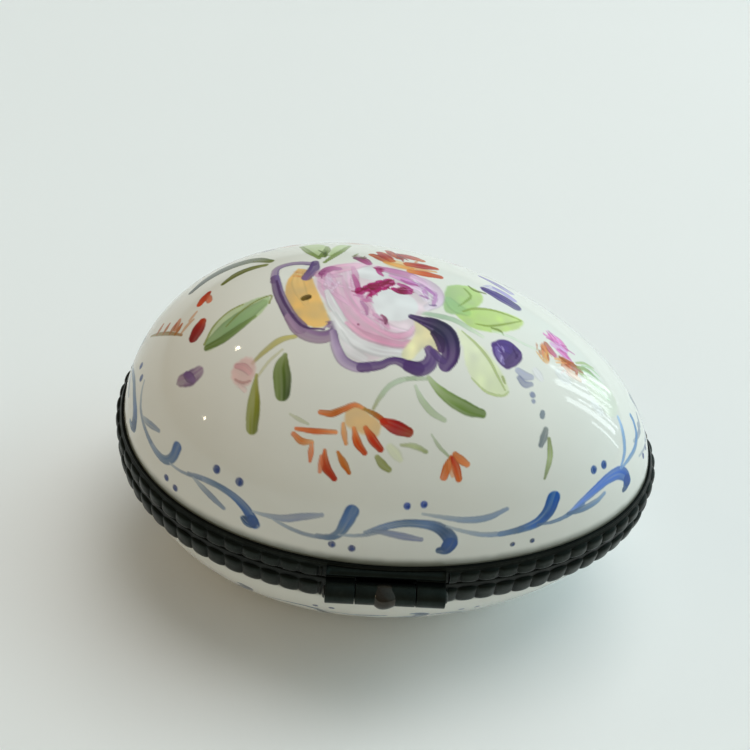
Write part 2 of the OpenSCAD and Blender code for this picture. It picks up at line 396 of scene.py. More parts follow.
class Brush:
    """Strokes laid in the coordinates of one mapping, from above or along the rim."""

    def __init__(self, canvas, lay):
        self.canvas, self.lay, self.count = canvas, lay, 0

    def __call__(self, points, width, colour, **how):
        """A stroke through given points; width lists half-widths and colour one or more colours."""
        self.count += 1
        points = np.asarray(points, float)
        if isinstance(colour, str):
            colour = (colour,)
        path = self.lay(smooth_path(points, 0.3))
        self.canvas.stroke(path, width, colour, seed=self.count, **how)

    def dot(self, x, y, size, colour, tall=1.0, **how):
        """A dab about size across; tall stretches it along the second coordinate."""
        half = size * 0.5
        rise = max(half * (tall - 1), 0.02)
        self([(x, y - rise), (x, y + rise)], (half * 0.85, half, half * 0.8), colour, **how)

    def scumble(self, points, spread, size, colours, count, lean=0.0, **how):
        """Many short, uneven touches strewn along a curve, spread to both sides of it."""
        self.count += 1
        chance = np.random.default_rng(self.count)
        curve = smooth_path(points, 0.1)
        for _ in range(count):
            x, y = curve[chance.integers(len(curve))] + chance.normal(0, spread, 2)
            turn = lean + chance.normal(0, 0.5)
            reach = size * chance.uniform(0.6, 1.6)
            dx, dy = reach * math.cos(turn), reach * math.sin(turn)
            half = size * chance.uniform(0.22, 0.5)
            self([(x - dx, y - dy), (x + dx, y + dy)], (half * 0.6, half, half * 0.5),
                 colours[chance.integers(len(colours))], **how)


# ---------------------------------------------------------------- the painting
def paint_ribbon_left(b):
    """Violet ribbon loop left of the rose, with its tan lining."""
    b.canvas.patch([(-14.0, 3.3), (-11.2, 3.6), (-10.4, 1.0), (-7.4, -4.4), (-6.8, -6.0), (-9.6, -6.6),
                    (-12.6, -3.4), (-14.0, 0.4)], "cdc6ba", 0.6, 0.4)
    b.canvas.patch([(-12.2, 3.1), (-12.9, 0.9), (-12.9, -0.9), (-12.4, -2.5), (-11.3, -4.3), (-10.2, -5.5),
                    (-8.8, -6.1), (-7.5, -5.9), (-7.1, -5.0), (-7.7, -4.0), (-8.5, -2.5), (-9.2, -1.1),
                    (-9.8, 0.2), (-10.4, 1.6), (-11.0, 2.8)], "be9860", 0.97, 0.3, towards="c2a06a",
                   direction=(1, -1), mottle=0.4)
    b([(-11.9, 2.2), (-11.8, 0.6), (-11.0, -1.4), (-10.2, -3.0)], (0.35, 0.8, 0.7, 0.3),
      ("cfa878", "cba06c"), opacity=0.5)
    b.scumble([(-11.9, 2.6), (-11.6, 1.4)], 0.25, 0.4, ("b5683a", "c07c48"), 5, opacity=0.5)
    b([(-10.55, -2.25), (-10.1, -2.0)], (0.36, 0.42, 0.36), ("4e4014", "3c3210"), opacity=0.95, streak=0.6)
    violet = dict(opacity=0.95, streak=0.45, soft=0.16)
    b([(-10.6, 4.1), (-12.2, 4.35), (-13.8, 4.0), (-14.7, 3.0), (-14.45, 0.8)],
      (0.42, 0.4, 0.42, 0.45, 0.52), ("4c3a62", "5d4c6e", "6d5c80", "6b5a7e"), side="8a7890", **violet)
    b([(-14.5, 1.4), (-13.6, -1.2), (-12.5, -3.3), (-11.3, -5.1), (-10.1, -6.3)],
      (0.52, 0.62, 0.62, 0.7, 0.78), ("665684", "6c5a7e", "7d6880"), side="54405f", **violet)
    b([(-11.6, -4.9), (-10.4, -6.3), (-8.9, -7.1), (-7.4, -7.2), (-6.4, -6.5), (-6.3, -5.4)],
      (0.6, 0.8, 0.85, 0.8, 0.7, 0.45), ("735c7c", "7c6580", "6c5474", "59456a"), side="8b7486", **violet)
    b([(-10.5, 4.5), (-10.4, 3.0), (-10.9, 1.3)], (0.42, 0.72, 0.6), ("4a3860", "503e66", "644f74"),
      **violet)
    b([(-14.2, 0.8), (-13.1, -2.0), (-11.5, -4.5), (-9.8, -6.1), (-7.6, -6.3)],
      (0.12, 0.2, 0.18, 0.16, 0.12), "3f2e4c", opacity=0.8)
    b.scumble([(-7.6, -5.9), (-6.2, -5.2)], 0.25, 0.4, ("6a5070", "57405f", "8c7890"), 9, lean=0.5,
              opacity=0.7)


def paint_ribbon_right(b):
    """Wavy violet ribbon under the rose, ending in a dark knot, with its peach lining."""
    b.canvas.patch([(1.9, -3.2), (3.4, -3.6), (4.6, -4.4), (4.9, -5.5), (5.2, -6.6), (4.3, -6.6),
                    (3.4, -6.4), (2.8, -7.3), (2.2, -8.2), (1.2, -7.9), (1.6, -6.4), (2.2, -5.0)], "c8ae86",
                   0.92, 0.35, towards="d0bd9a", direction=(-1, -1), mottle=0.4)
    violet = dict(opacity=0.96, streak=0.4, soft=0.16)
    b([(-6.5, -6.6), (-5.9, -8.2), (-4.9, -9.5), (-3.5, -10.0), (-2.2, -9.9)],
      (0.42, 0.55, 0.6, 0.58, 0.55), ("6f5c7c", "8c7a94", "7a6888", "5c4870"), side="a08fa4", **violet)
    b([(-2.8, -9.95), (-0.9, -9.4), (0.0, -8.8), (0.9, -8.55), (2.0, -8.75), (3.1, -8.8)],
      (0.55, 0.56, 0.44, 0.42, 0.6, 0.8), ("58446e", "48345f", "45305a"), side="5a4668", **violet)
    b([(2.2, -8.8), (3.3, -8.8), (4.2, -8.1), (4.45, -7.1), (4.0, -6.4)], (0.7, 0.88, 0.82, 0.75, 0.5),
      ("452f5a", "48345f", "553f6a"), **violet)
    b([(1.5, -2.8), (2.8, -3.0), (4.2, -3.2), (5.5, -3.9), (6.2, -5.2), (6.35, -6.6), (6.0, -7.6)],
      (0.3, 0.6, 1.05, 1.3, 1.15, 1.0, 0.75), ("3c2c4c", "2e1c3c", "241230", "28153a", "3a264c", "45305a"),
      **violet)
    b([(4.2, -4.3), (5.0, -5.0), (5.3, -6.0)], (0.35, 0.65, 0.4), ("2a1834", "3a2648"), opacity=0.85)
    b([(4.5, -6.5), (5.2, -7.0), (5.7, -7.2)], (0.4, 0.5, 0.4), "4c3862", opacity=0.9)
    b([(2.6, -3.35), (4.0, -3.75)], (0.08, 0.14), "6b5a78", opacity=0.6)


def paint_rose(b):
    """The open rose: pale ground, broad mauve petals, white heart and magenta accents."""
    b.canvas.patch([(-10.0, 2.4), (-9.0, 3.8), (-7.0, 4.7), (-5.4, 5.6), (-3.8, 5.2), (-2.2, 5.2),
                    (-0.2, 5.0), (1.6, 4.6), (3.2, 3.9), (4.3, 2.8), (4.7, 1.2), (4.2, -0.4), (2.8, -1.7),
                    (2.3, -3.2), (2.5, -5.4), (1.9, -7.2), (-0.2, -8.2), (-2.3, -9.3), (-3.6, -9.4),
                    (-4.9, -8.4), (-5.7, -7.0), (-6.6, -5.3), (-7.9, -3.0), (-9.1, -1.1), (-9.9, 0.6)],
                   "c6b0b6", 0.92, 0.45, mottle=0.4)
    petal = dict(opacity=0.62, soft=0.3, streak=0.75, pool=0.1)
    b([(-9.6, 2.0), (-7.8, 3.2), (-6.0, 4.2), (-4.6, 5.0)], (0.6, 1.0, 0.8, 0.4),
      ("9c6484", "b9839c", "c4a0b0"), **petal)
    b([(-9.0, 1.6), (-8.3, -0.4), (-7.2, -2.2), (-6.2, -3.8)], (0.7, 1.0, 0.8, 0.5),
      ("b98fa6", "b787a2", "c39cb0"), **petal)
    b([(-8.0, 2.2), (-7.0, -0.2), (-5.8, -2.6), (-4.2, -4.4), (-2.4, -5.6), (-0.4, -6.4), (1.8, -6.4)],
      (0.7, 1.1, 1.2, 1.0, 1.0, 0.9, 0.5), ("c09ab0", "bd93aa", "b88aa2", "b07a94", "b47f96", "bd8fa4"),
      **petal)
    b([(-6.6, 2.6), (-6.0, 0.6), (-4.9, -1.6), (-3.2, -3.6), (-0.8, -4.9), (1.4, -5.0)],
      (0.5, 0.8, 0.9, 0.8, 0.6, 0.3), ("c2a0b4", "b98aa4", "b587a0", "bd95a8", "cbb0ba"), **petal)
    b.scumble([(-5.4, 0.6), (-4.4, -1.2), (-3.0, -3.0), (-1.0, -4.6)], 0.3, 0.8,
              ("a3688a", "ad7894", "c8a8b8", "b78aa2"), 16, lean=-0.9, opacity=0.55, streak=0.7)
    b.scumble([(-8.4, 1.4), (-7.6, -0.8), (-6.4, -3.0)], 0.35, 0.9, ("a87896", "cbb2c0", "b890a8"), 12,
              lean=-1.0, opacity=0.5, streak=0.7)
    b([(-8.2, -1.0), (-7.3, -2.8), (-6.2, -4.3), (-5.3, -5.4)], (0.3, 0.55, 0.5, 0.25),
      ("e2d4d0", "efe6e2", "e6d8d6"), opacity=0.9, soft=0.2)
    b([(-7.0, -4.4), (-5.6, -6.2), (-3.6, -7.3), (-1.2, -7.8), (0.9, -7.6)], (0.5, 0.8, 0.9, 0.8, 0.5),
      ("d8c8c8", "ded2cd", "dcd4c8"), opacity=0.85, soft=0.35, streak=0.5)
    b([(-5.9, -6.4), (-4.6, -8.2), (-2.8, -9.0)], (0.3, 0.7, 0.5), ("d9d0cc", "dfd8d0"), opacity=0.7,
      soft=0.35)
    b([(-5.2, -5.2), (-3.4, -6.3), (-1.2, -6.7), (0.8, -6.7), (1.9, -6.1)], (0.25, 0.5, 0.55, 0.5, 0.3),
      ("b88098", "b57a92", "b0728c", "b88098"), opacity=0.65, soft=0.25, streak=0.6)
    b([(-1.6, -5.5), (0.2, -5.8), (1.5, -5.2), (2.0, -4.2)], (0.2, 0.4, 0.45, 0.25),
      ("c793a8", "bb809a", "c79cae"), opacity=0.75, soft=0.25)
    b.canvas.patch([(-5.6, 3.0), (-4.8, 4.2), (-3.4, 4.6), (-2.0, 4.0), (-2.0, 2.6), (-3.2, 1.9),
                    (-4.8, 2.0)], "d9cdd3", 0.9, 0.4, mottle=0.3)
    b([(-6.1, 4.0), (-5.6, 2.6), (-5.2, 1.2)], (0.2, 0.4, 0.25), ("b489a4", "a8688c"), opacity=0.7,
      streak=0.6)
    b([(-3.2, 4.5), (-1.6, 4.3), (0.4, 4.0), (2.0, 3.2)], (0.45, 0.75, 0.85, 0.6),
      ("9c5078", "9c6088", "a0708e", "b494aa"), opacity=0.85, soft=0.2, streak=0.7)
    b([(-1.6, 3.4), (0.2, 2.9), (1.6, 2.2)], (0.3, 0.6, 0.5), ("b47ca4", "a86c9c", "b890b0"), opacity=0.8,
      streak=0.7)
    b([(1.0, 3.9), (2.6, 3.3), (3.7, 2.1), (4.0, 0.5), (3.1, -0.9)], (0.5, 0.8, 0.85, 0.75, 0.45),
      ("bc9cb2", "b49ab0", "b4a2b4", "b8b0b8"), opacity=0.8, soft=0.3, streak=0.7)
    b([(0.8, 2.0), (2.0, 1.5), (2.7, 0.4)], (0.4, 0.7, 0.4), ("c3a4ba", "c6b4c4"), opacity=0.75, soft=0.3,
      streak=0.6)
    b.scumble([(1.2, 2.8), (2.6, 2.0), (3.4, 0.6)], 0.3, 0.7, ("946094", "a274a0", "cabccc"), 12, lean=-0.7,
              opacity=0.6, streak=0.6)
    b.canvas.patch([(-2.9, -0.4), (-2.3, 0.7), (-1.1, 1.2), (0.3, 0.5), (1.5, -0.1), (2.1, -1.5),
                    (1.4, -3.0), (0.2, -3.8), (-1.3, -3.9), (-2.5, -3.1), (-3.1, -1.8)], "dde3e0", 0.97,
                   0.35, mottle=0.1)
    magenta = dict(opacity=0.96, streak=0.5, soft=0.12)
    b([(-5.8, 2.3), (-5.2, 0.9), (-4.7, -0.4)], (0.18, 0.34, 0.3), ("9c5a80", "8a3566"), opacity=0.8,
      streak=0.6)
    for x, y, size in ((-4.6, -0.4, 1.3), (-3.9, 0.2, 1.2), (-3.2, 0.5, 1.9), (-2.4, 1.2, 1.9),
                       (-1.7, 1.9, 1.5)):
        b.dot(x, y, size, ("8c2456", "96205a"), tall=1.1, **magenta)
    b.scumble([(-3.4, -0.4), (-2.9, 0.2)], 0.2, 0.45, ("8c2050", "a04474"), 7, lean=0.8, opacity=0.85)
    b.scumble([(-4.9, -0.4), (-3.4, 0.4), (-1.5, 2.1)], 0.35, 0.42,
              ("7a1040", "9c3468", "6c0834", "a8507c"), 30, lean=0.7, opacity=0.85)
    b.scumble([(-3.3, 0.5), (-1.8, 1.8)], 0.2, 0.45, ("64082c", "780c3c"), 9, lean=0.7, opacity=0.9)
    b.scumble([(-4.6, -1.2), (-3.6, -1.6)], 0.25, 0.4, ("a65480", "b0709a"), 6, opacity=0.6)
    b.dot(0.0, 0.9, 1.3, ("7c1044", "8a2050"), **magenta)
    b([(-1.0, 0.9), (-0.2, 0.7), (0.8, 0.9)], (0.3, 0.5, 0.35), ("8a1c50", "6e0c38", "8c2c5e"), **magenta)
    b([(-0.6, 2.0), (0.2, 1.7), (0.9, 1.4)], (0.2, 0.36, 0.25), ("96366c", "8a205a"), **magenta)
    b.scumble([(-0.8, 1.0), (0.4, 1.0), (1.4, 1.6)], 0.35, 0.3, ("7a1044", "9a3c70", "5e0028", "a8608c"),
              14, lean=0.2, opacity=0.8)
    b([(-0.4, 2.9), (0.5, 2.5), (1.4, 2.5)], (0.12, 0.25, 0.16), "96487c", opacity=0.8)
    b.scumble([(-3.4, 4.2), (-2.9, 4.3)], 0.15, 0.4, ("8a1c50", "96305f", "741040"), 7, opacity=0.9)
    b([(-3.2, 4.0), (-2.9, 3.4), (-2.5, 3.0)], (0.25, 0.3, 0.12), "98386c", opacity=0.85)
    b([(-9.4, 2.2), (-8.6, 3.2), (-7.5, 3.3)], (0.35, 0.6, 0.3), ("70325c", "8e5078", "a06c90"),
      opacity=0.9, streak=0.6)
    b.scumble([(-9.4, 1.6), (-8.6, 2.8)], 0.3, 0.35, ("7c3a64", "9a5c84"), 8, lean=0.7, opacity=0.7)
    b([(-6.0, 6.3), (-5.2, 6.0), (-4.5, 5.3)], (0.4, 0.7, 0.45), ("5c3448", "7c2c54", "8a3c68"),
      opacity=0.92, streak=0.5)
    b.scumble([(-6.2, 7.0), (-5.2, 6.8)], 0.3, 0.35, ("4e5a34", "5c6a3c", "70404c"), 8, lean=0.5,
              opacity=0.8)
    b([(-4.2, -2.0), (-3.5, -2.9), (-3.3, -3.7)], (0.18, 0.3, 0.15), ("946088", "8a5478"), opacity=0.75,
      streak=0.6)
    b([(-1.7, -3.5), (-1.2, -3.9), (-1.1, -4.5)], (0.14, 0.24, 0.12), ("7c3c58", "5c2c40"), opacity=0.85)
    b([(-1.9, -4.1), (-1.3, -4.2)], (0.1, 0.16), "845068", opacity=0.8)
    b.dot(-4.0, -5.2, 0.3, "7a4058", opacity=0.8)
    b([(2.1, 0.8), (2.9, 0.6)], (0.14, 0.14), "8c5c88", opacity=0.75)
    b([(3.3, -0.4), (3.9, -0.2)], (0.12, 0.12), "5c4c6c", opacity=0.75)


def paint_red_sprays(b):
    """Orange-red flowers: above the rose, below it and small ones at the sides."""
    red = dict(opacity=0.92, streak=0.45)
    b.canvas.patch([(-3.0, 7.2), (-1.6, 7.4), (0.2, 6.8), (1.0, 5.8), (-0.6, 5.2), (-2.4, 5.6)], "c9a373",
                   0.8, 0.4)
    b([(-4.3, 7.8), (-3.4, 7.3), (-2.4, 6.4)], (0.45, 0.75, 0.4), ("9c3f0c", "8e3208", "a85a24"), **red)
    b([(-3.6, 9.0), (-2.9, 8.0), (-2.0, 7.0)], (0.4, 0.75, 0.45), ("841c04", "8c2406", "a44a18"), **red)
    b([(-2.7, 10.2), (-2.1, 9.2), (-1.3, 8.2)], (0.4, 0.7, 0.4), ("8a2c0a", "84260a", "a04a1c"), **red)
    b([(-1.4, 9.4), (-0.2, 9.4), (1.3, 9.1)], (0.55, 0.95, 0.5), ("7c2006", "8c2a0a", "9e4a24"), **red)
    b([(0.0, 6.9), (1.4, 7.2), (3.1, 7.6)], (0.6, 0.85, 0.4), ("a43c0c", "8a1f02", "98340c"), **red)
    b([(0.4, 5.2), (2.0, 5.4), (3.8, 5.6)], (0.45, 0.72, 0.4), ("b8682e", "a8400e", "a03408"), **red)
    b([(0.6, 6.1), (2.0, 6.3), (3.2, 6.6)], (0.2, 0.3, 0.2), "c87a3c", opacity=0.7)
    b([(-2.6, 6.2), (-1.0, 6.0), (0.4, 5.8)], (0.3, 0.55, 0.4), ("b9803c", "c08844", "b8743a"), opacity=0.8,
      streak=0.6)
    b.scumble([(-3.4, 8.2), (-1.6, 8.6), (0.4, 8.0)], 0.5, 0.5, ("8c2406", "a8521c", "6c1a06"), 12,
              lean=-0.9, opacity=0.7)
    # spray below the rose
    b.canvas.patch([(-3.6, -13.9), (-2.4, -13.5), (-1.2, -14.0), (0.2, -14.6), (0.0, -15.7), (-1.4, -15.7),
                    (-2.8, -15.5), (-3.6, -15.0)], "cf9c6c", 0.85, 0.4)
    b([(-6.3, -14.5), (-5.1, -14.5), (-3.9, -14.0), (-2.8, -13.5), (-1.7, -13.7)],
      (0.25, 0.42, 0.35, 0.3, 0.2), ("b4623a", "9c4a1c", "b4603a", "c08150"), **red)
    b([(-1.7, -13.7), (-0.4, -14.0), (0.6, -14.4)], (0.15, 0.3, 0.3), ("8a6a34", "8a5228", "a23a1c"), **red)
    b([(0.5, -14.4), (1.9, -14.6), (3.2, -14.7)], (0.4, 0.8, 0.55), ("a02c14", "84200f", "7a2a20"), **red)
    b([(-1.3, -15.2), (-0.3, -16.0), (0.6, -16.5)], (0.25, 0.52, 0.35), ("b45a34", "9c3018", "8f2c1c"),
      **red)
    b([(-2.5, -15.4), (-1.9, -16.4), (-1.0, -17.0)], (0.2, 0.5, 0.3), ("c0764a", "a8421e", "9c3620"), **red)
    b([(-3.7, -15.2), (-3.4, -16.0), (-3.1, -16.6)], (0.2, 0.35, 0.2), ("c88a5c", "bb7648"), **red)
    b([(-8.6, -15.9), (-6.6, -16.0), (-4.4, -15.9)], (0.2, 0.35, 0.25), ("b8603a", "b0522c", "bd7a50"),
      **red)
    b([(-8.8, -16.3), (-7.8, -16.8), (-6.7, -16.8)], (0.25, 0.42, 0.2), ("bb6a46", "b2602e", "c08a5c"),
      **red)
    b([(-6.7, -16.9), (-6.6, -18.1)], (0.2, 0.35, 0.15), ("c4805c", "b85f40"), **red)
    b([(-5.2, -17.3), (-4.9, -18.3), (-3.8, -19.0)], (0.15, 0.58, 0.3), ("b4562e", "96320f", "8c2a14"),
      **red)
    b([(-5.5, -17.7), (-5.4, -18.7)], (0.15, 0.3, 0.2), "bd6a4a", opacity=0.8)
    b([(-3.8, -17.3), (-3.1, -17.9), (-2.3, -18.5)], (0.15, 0.45, 0.2), ("a85c28", "9c4a1c"), **red)
    # small bud to its right
    b([(8.1, -15.4), (7.9, -16.2), (7.7, -16.9)], (0.16, 0.52, 0.42), ("a44a22", "ac4a20", "b8603a"), **red)
    b([(8.3, -15.4), (8.9, -16.1), (9.3, -16.6)], (0.2, 0.5, 0.36), ("9c2c0c", "a83a14", "b24a22"), **red)
    b([(8.5, -15.1), (9.2, -15.3), (9.9, -15.4)], (0.3, 0.5, 0.35), ("a85a30", "b46c44"), opacity=0.9,
      streak=0.5)
    b([(8.0, -15.8), (8.6, -16.6)], (0.2, 0.35, 0.2), "c47a50", opacity=0.6)
    # buds on the left
    b([(-22.1, 0.9), (-22.7, -0.6)], (0.35, 0.7, 0.5), ("8a2a1c", "a23a24"), **red)
    b([(-22.0, 0.4), (-21.6, -0.7)], (0.2, 0.45, 0.4), ("a44a34", "b05a40"), opacity=0.85)
    b([(-21.7, -3.9), (-21.95, -4.8), (-22.2, -5.6)], (0.55, 0.95, 0.7), ("8c2c1c", "74170c", "681408"),
      **red)
    b([(-24.8, -2.0), (-25.0, -3.2)], (0.25, 0.5, 0.3), ("a8664c", "9c5a3c"), opacity=0.8)
    b([(-23.4, -2.9), (-22.8, -1.9)], (0.15, 0.25, 0.15), "b07c5c", opacity=0.7)
    b([(-24.0, -4.3), (-23.4, -3.4), (-22.9, -3.0)], (0.15, 0.28, 0.15), "a87858", opacity=0.7)
    b([(-28.6, -1.0), (-27.2, -2.2), (-25.6, -3.4), (-23.9, -4.6)], (0.14, 0.26, 0.28, 0.14),
      ("74683c", "6e5a30", "7c5636"), opacity=0.8, streak=0.6)
    for x, y in ((-27.6, -1.9), (-26.6, -2.7), (-25.6, -3.4), (-24.8, -4.0)):
        b([(x, y), (x + 0.5, y + 1.1)], (0.16, 0.34, 0.16), ("8c5a34", "94462c"), opacity=0.85)


def paint_green(b):
    """Leaves and stems."""
    leaf = dict(opacity=0.88, streak=0.4, soft=0.2)
    vein = dict(opacity=0.75, streak=0.3, soft=0.12)
    # big leaf on the left
    b.canvas.patch([(-20.7, -7.0), (-20.2, -5.0), (-19.0, -3.5), (-17.4, -2.6), (-15.8, -1.9),
                    (-14.5, -1.8), (-14.4, -3.0), (-15.1, -4.5), (-16.4, -5.7), (-17.8, -6.9),
                    (-19.0, -7.6), (-20.1, -7.9)], "9ba582", 0.85, 0.3, towards="94a67c", direction=(1, 0),
                   mottle=0.25)
    b([(-20.2, -6.9), (-18.5, -5.7), (-16.8, -4.4), (-15.0, -2.8)], (0.4, 1.1, 1.1, 0.5),
      ("748a60", "728c62", "80966c"), **leaf)
    b([(-20.3, -7.5), (-18.7, -7.0), (-17.1, -5.9), (-15.5, -4.6)], (0.35, 0.55, 0.45, 0.15),
      ("4f5e30", "56683a", "6a7c48"), **leaf)
    b([(-20.7, -7.0), (-20.1, -5.0), (-18.8, -3.4), (-17.3, -2.6)], (0.14, 0.12, 0.1), "6c7236", **vein)
    b([(-18.6, -5.4), (-17.4, -3.8), (-15.9, -2.4), (-14.3, -1.7), (-14.3, -2.9)],
      (0.08, 0.14, 0.12, 0.12, 0.1), "6a7038", **vein)
    # long dark leaves behind it
    b([(-24.6, 3.2), (-23.4, 4.8), (-21.8, 6.0), (-19.8, 6.6), (-17.8, 6.5), (-15.8, 5.4)],
      (0.5, 0.95, 1.15, 0.95, 0.7, 0.4), ("262a0c", "2a300c", "363c12", "525a28"), opacity=0.97, streak=0.3,
      soft=0.2)
    b([(-20.6, 2.0), (-19.4, 3.4), (-17.9, 4.2), (-16.2, 4.5)], (0.3, 0.62, 0.55, 0.3),
      ("474c1c", "41471a", "5c6230"), **leaf)
    # leaves behind the rose
    b.canvas.patch([(-13.0, 10.2), (-11.8, 7.8), (-10.4, 5.9), (-9.6, 7.0), (-9.8, 9.4), (-11.2, 11.0)],
                   "93a26e", 0.85, 0.35)
    b.canvas.patch([(-7.4, 10.8), (-7.6, 8.6), (-8.4, 6.6), (-9.2, 6.4), (-9.2, 8.6), (-8.6, 10.6)],
                   "99a878", 0.85, 0.35)
    b([(-13.0, 9.8), (-11.7, 7.4), (-10.2, 5.6)], (0.25, 0.42, 0.25), ("5c6c30", "4c5f24"), **vein)
    b([(-10.0, 6.2), (-9.7, 8.0), (-9.9, 9.6)], (0.4, 0.5, 0.2), ("48591e", "64743c"), **vein)
    b([(-7.3, 10.6), (-7.9, 8.2), (-8.7, 6.2), (-9.4, 4.6)], (0.2, 0.35, 0.4, 0.2), ("6c7c48", "4f6026"),
      **vein)
    b.scumble([(-9.6, 6.6), (-9.8, 7.6)], 0.2, 0.4, ("3e4c1a", "52642c"), 6, lean=1.4, opacity=0.8)
    # leaves on the right
    b.canvas.patch([(4.8, 4.0), (6.0, 5.0), (7.6, 5.5), (8.8, 4.7), (9.0, 3.2), (8.4, 1.6), (7.2, 0.0),
                    (6.0, -0.8), (5.0, -0.6), (4.6, 1.4)], "7f9c6c", 0.87, 0.35, towards="a0b468",
                   direction=(1, 0.6), mottle=0.25)
    b.canvas.patch([(6.2, -0.7), (8.1, 1.1), (10.1, 2.3), (12.0, 2.8), (13.9, 2.7), (13.6, 1.2),
                    (12.8, 0.2), (11.4, -1.0), (9.7, -1.7), (8.0, -1.8)], "92aa62", 0.87, 0.35,
                   towards="a6b66e", direction=(1, 0), mottle=0.25)
    b([(6.8, 4.6), (7.6, 3.4), (7.0, 1.8), (6.4, 0.8)], (0.15, 0.2, 0.15, 0.08), "6f8440", **vein)
    b([(7.2, 5.6), (7.9, 5.0), (9.2, 5.2)], (0.12, 0.25, 0.15), "5a6232", **vein)
    b([(5.2, 1.4), (6.2, 0.4), (7.4, 0.2)], (0.5, 0.9, 0.5), ("7fa076", "84a468"), opacity=0.6, soft=0.4)
    b([(7.0, 0.2), (8.2, 1.3), (10.1, 2.2), (12.0, 2.5), (13.8, 2.6)], (0.12, 0.2, 0.18, 0.12, 0.08),
      "73823c", **vein)
    b([(8.6, -1.1), (10.2, -0.6), (12.0, 0.8), (13.6, 2.4)], (0.08, 0.16, 0.14, 0.08), "6c7a38", **vein)
    b([(10.4, -0.8), (11.4, -0.7), (11.8, -1.1)], (0.12, 0.18, 0.1), "5e6c34", **vein)
    b([(2.6, -1.9), (4.4, -1.7), (6.2, -1.6), (8.2, -2.2), (9.6, -2.6)], (0.25, 0.35, 0.35, 0.3, 0.15),
      ("8a9c86", "7c9478", "93a688", "b8c4a8"), opacity=0.75, soft=0.25)
    b([(10.6, -1.2), (12.6, -1.0), (14.6, -1.1), (16.6, -0.9)], (0.15, 0.18, 0.15, 0.1), "b2bfa8",
      opacity=0.6, soft=0.2)
    # long pale leaf
    b.canvas.patch([(6.6, -2.6), (8.4, -3.3), (10.1, -4.2), (11.6, -5.5), (12.8, -6.8), (13.2, -8.0),
                    (12.6, -8.5), (11.0, -8.8), (9.5, -8.3), (8.3, -7.0), (7.6, -5.0), (7.0, -3.8)],
                   "bec6a4", 0.72, 0.4, towards="b8c290", direction=(1, -1), mottle=0.25)
    b([(7.2, -2.8), (9.0, -3.9), (10.6, -5.2), (11.9, -6.8), (12.8, -7.8)], (0.08, 0.18, 0.2, 0.16, 0.1),
      "8c9660", **vein)
    b([(9.0, -8.0), (10.8, -8.8), (12.6, -8.5), (13.2, -7.8)], (0.08, 0.14, 0.18, 0.1), "98a26c", **vein)
    b([(12.3, -6.5), (12.7, -7.1)], (0.12, 0.2, 0.1), "7c8450", **vein)
    # leaves below the ribbon
    b([(4.4, -9.4), (5.6, -10.2), (7.2, -10.8), (9.2, -11.1), (10.7, -11.0)], (0.2, 0.5, 0.72, 0.8, 0.45),
      ("93a078", "6d8048", "53682f", "4c5f2c"), **leaf)
    b([(3.2, -10.6), (4.1, -11.7), (5.4, -12.5), (6.8, -12.8)], (0.12, 0.35, 0.4, 0.25),
      ("a2ac96", "929e80", "98a286"), **leaf)
    b([(3.0, -9.9), (1.8, -10.3), (0.6, -11.1), (-0.3, -12.4), (-0.8, -13.5)], (0.2, 0.3, 0.28, 0.25, 0.15),
      ("98a48c", "9ba792", "94a088", "8b8a68"), **leaf)
    b([(2.2, -10.1), (3.2, -9.8), (4.2, -9.6)], (0.2, 0.3, 0.2), "8f9c80", opacity=0.7)
    # stems and drop leaves left of centre
    b([(-10.5, -7.3), (-12.0, -7.7), (-13.4, -8.8), (-14.6, -10.1)], (0.25, 0.4, 0.32, 0.15),
      ("a49a5c", "989058", "8a8254"), **leaf)
    b([(-11.6, -8.8), (-12.8, -10.0), (-13.7, -11.4)], (0.12, 0.18, 0.15), "a5a180", opacity=0.7)
    b([(-13.9, -11.3), (-13.8, -12.6), (-13.6, -14.2), (-13.5, -15.2), (-13.4, -15.8)],
      (0.14, 0.4, 0.72, 0.78, 0.66), ("847c44", "72702c", "5c601c", "4c5416"), side="7c8040", **leaf)
    b([(-11.2, -9.4), (-11.3, -10.6), (-11.0, -11.8), (-10.8, -12.6), (-10.7, -13.1)],
      (0.2, 0.75, 1.0, 0.98, 0.8), ("59622e", "3c4a14", "323f10", "2c380f"), side="5c6c34", **leaf)
    # short strokes by the lower spray
    b([(2.7, -15.8), (4.1, -15.6), (5.4, -15.7)], (0.12, 0.35, 0.22), ("8c9068", "97a074", "7c8458"),
      **leaf)
    b([(0.4, -17.1), (1.1, -17.5), (1.8, -17.7)], (0.25, 0.48, 0.3), ("7a7c4e", "767a48"), **leaf)
    b([(1.6, -16.2), (2.8, -16.8)], (0.4, 0.6, 0.3), "b3b78c", opacity=0.45, soft=0.4)
    b([(-9.5, -14.8), (-8.4, -15.2), (-7.4, -15.5)], (0.1, 0.25, 0.12), ("a4a48c", "989a80"), opacity=0.7)
    b([(5.7, -14.3), (6.7, -15.0), (7.8, -15.4)], (0.08, 0.22, 0.15), ("98a088", "808a68"), opacity=0.8)


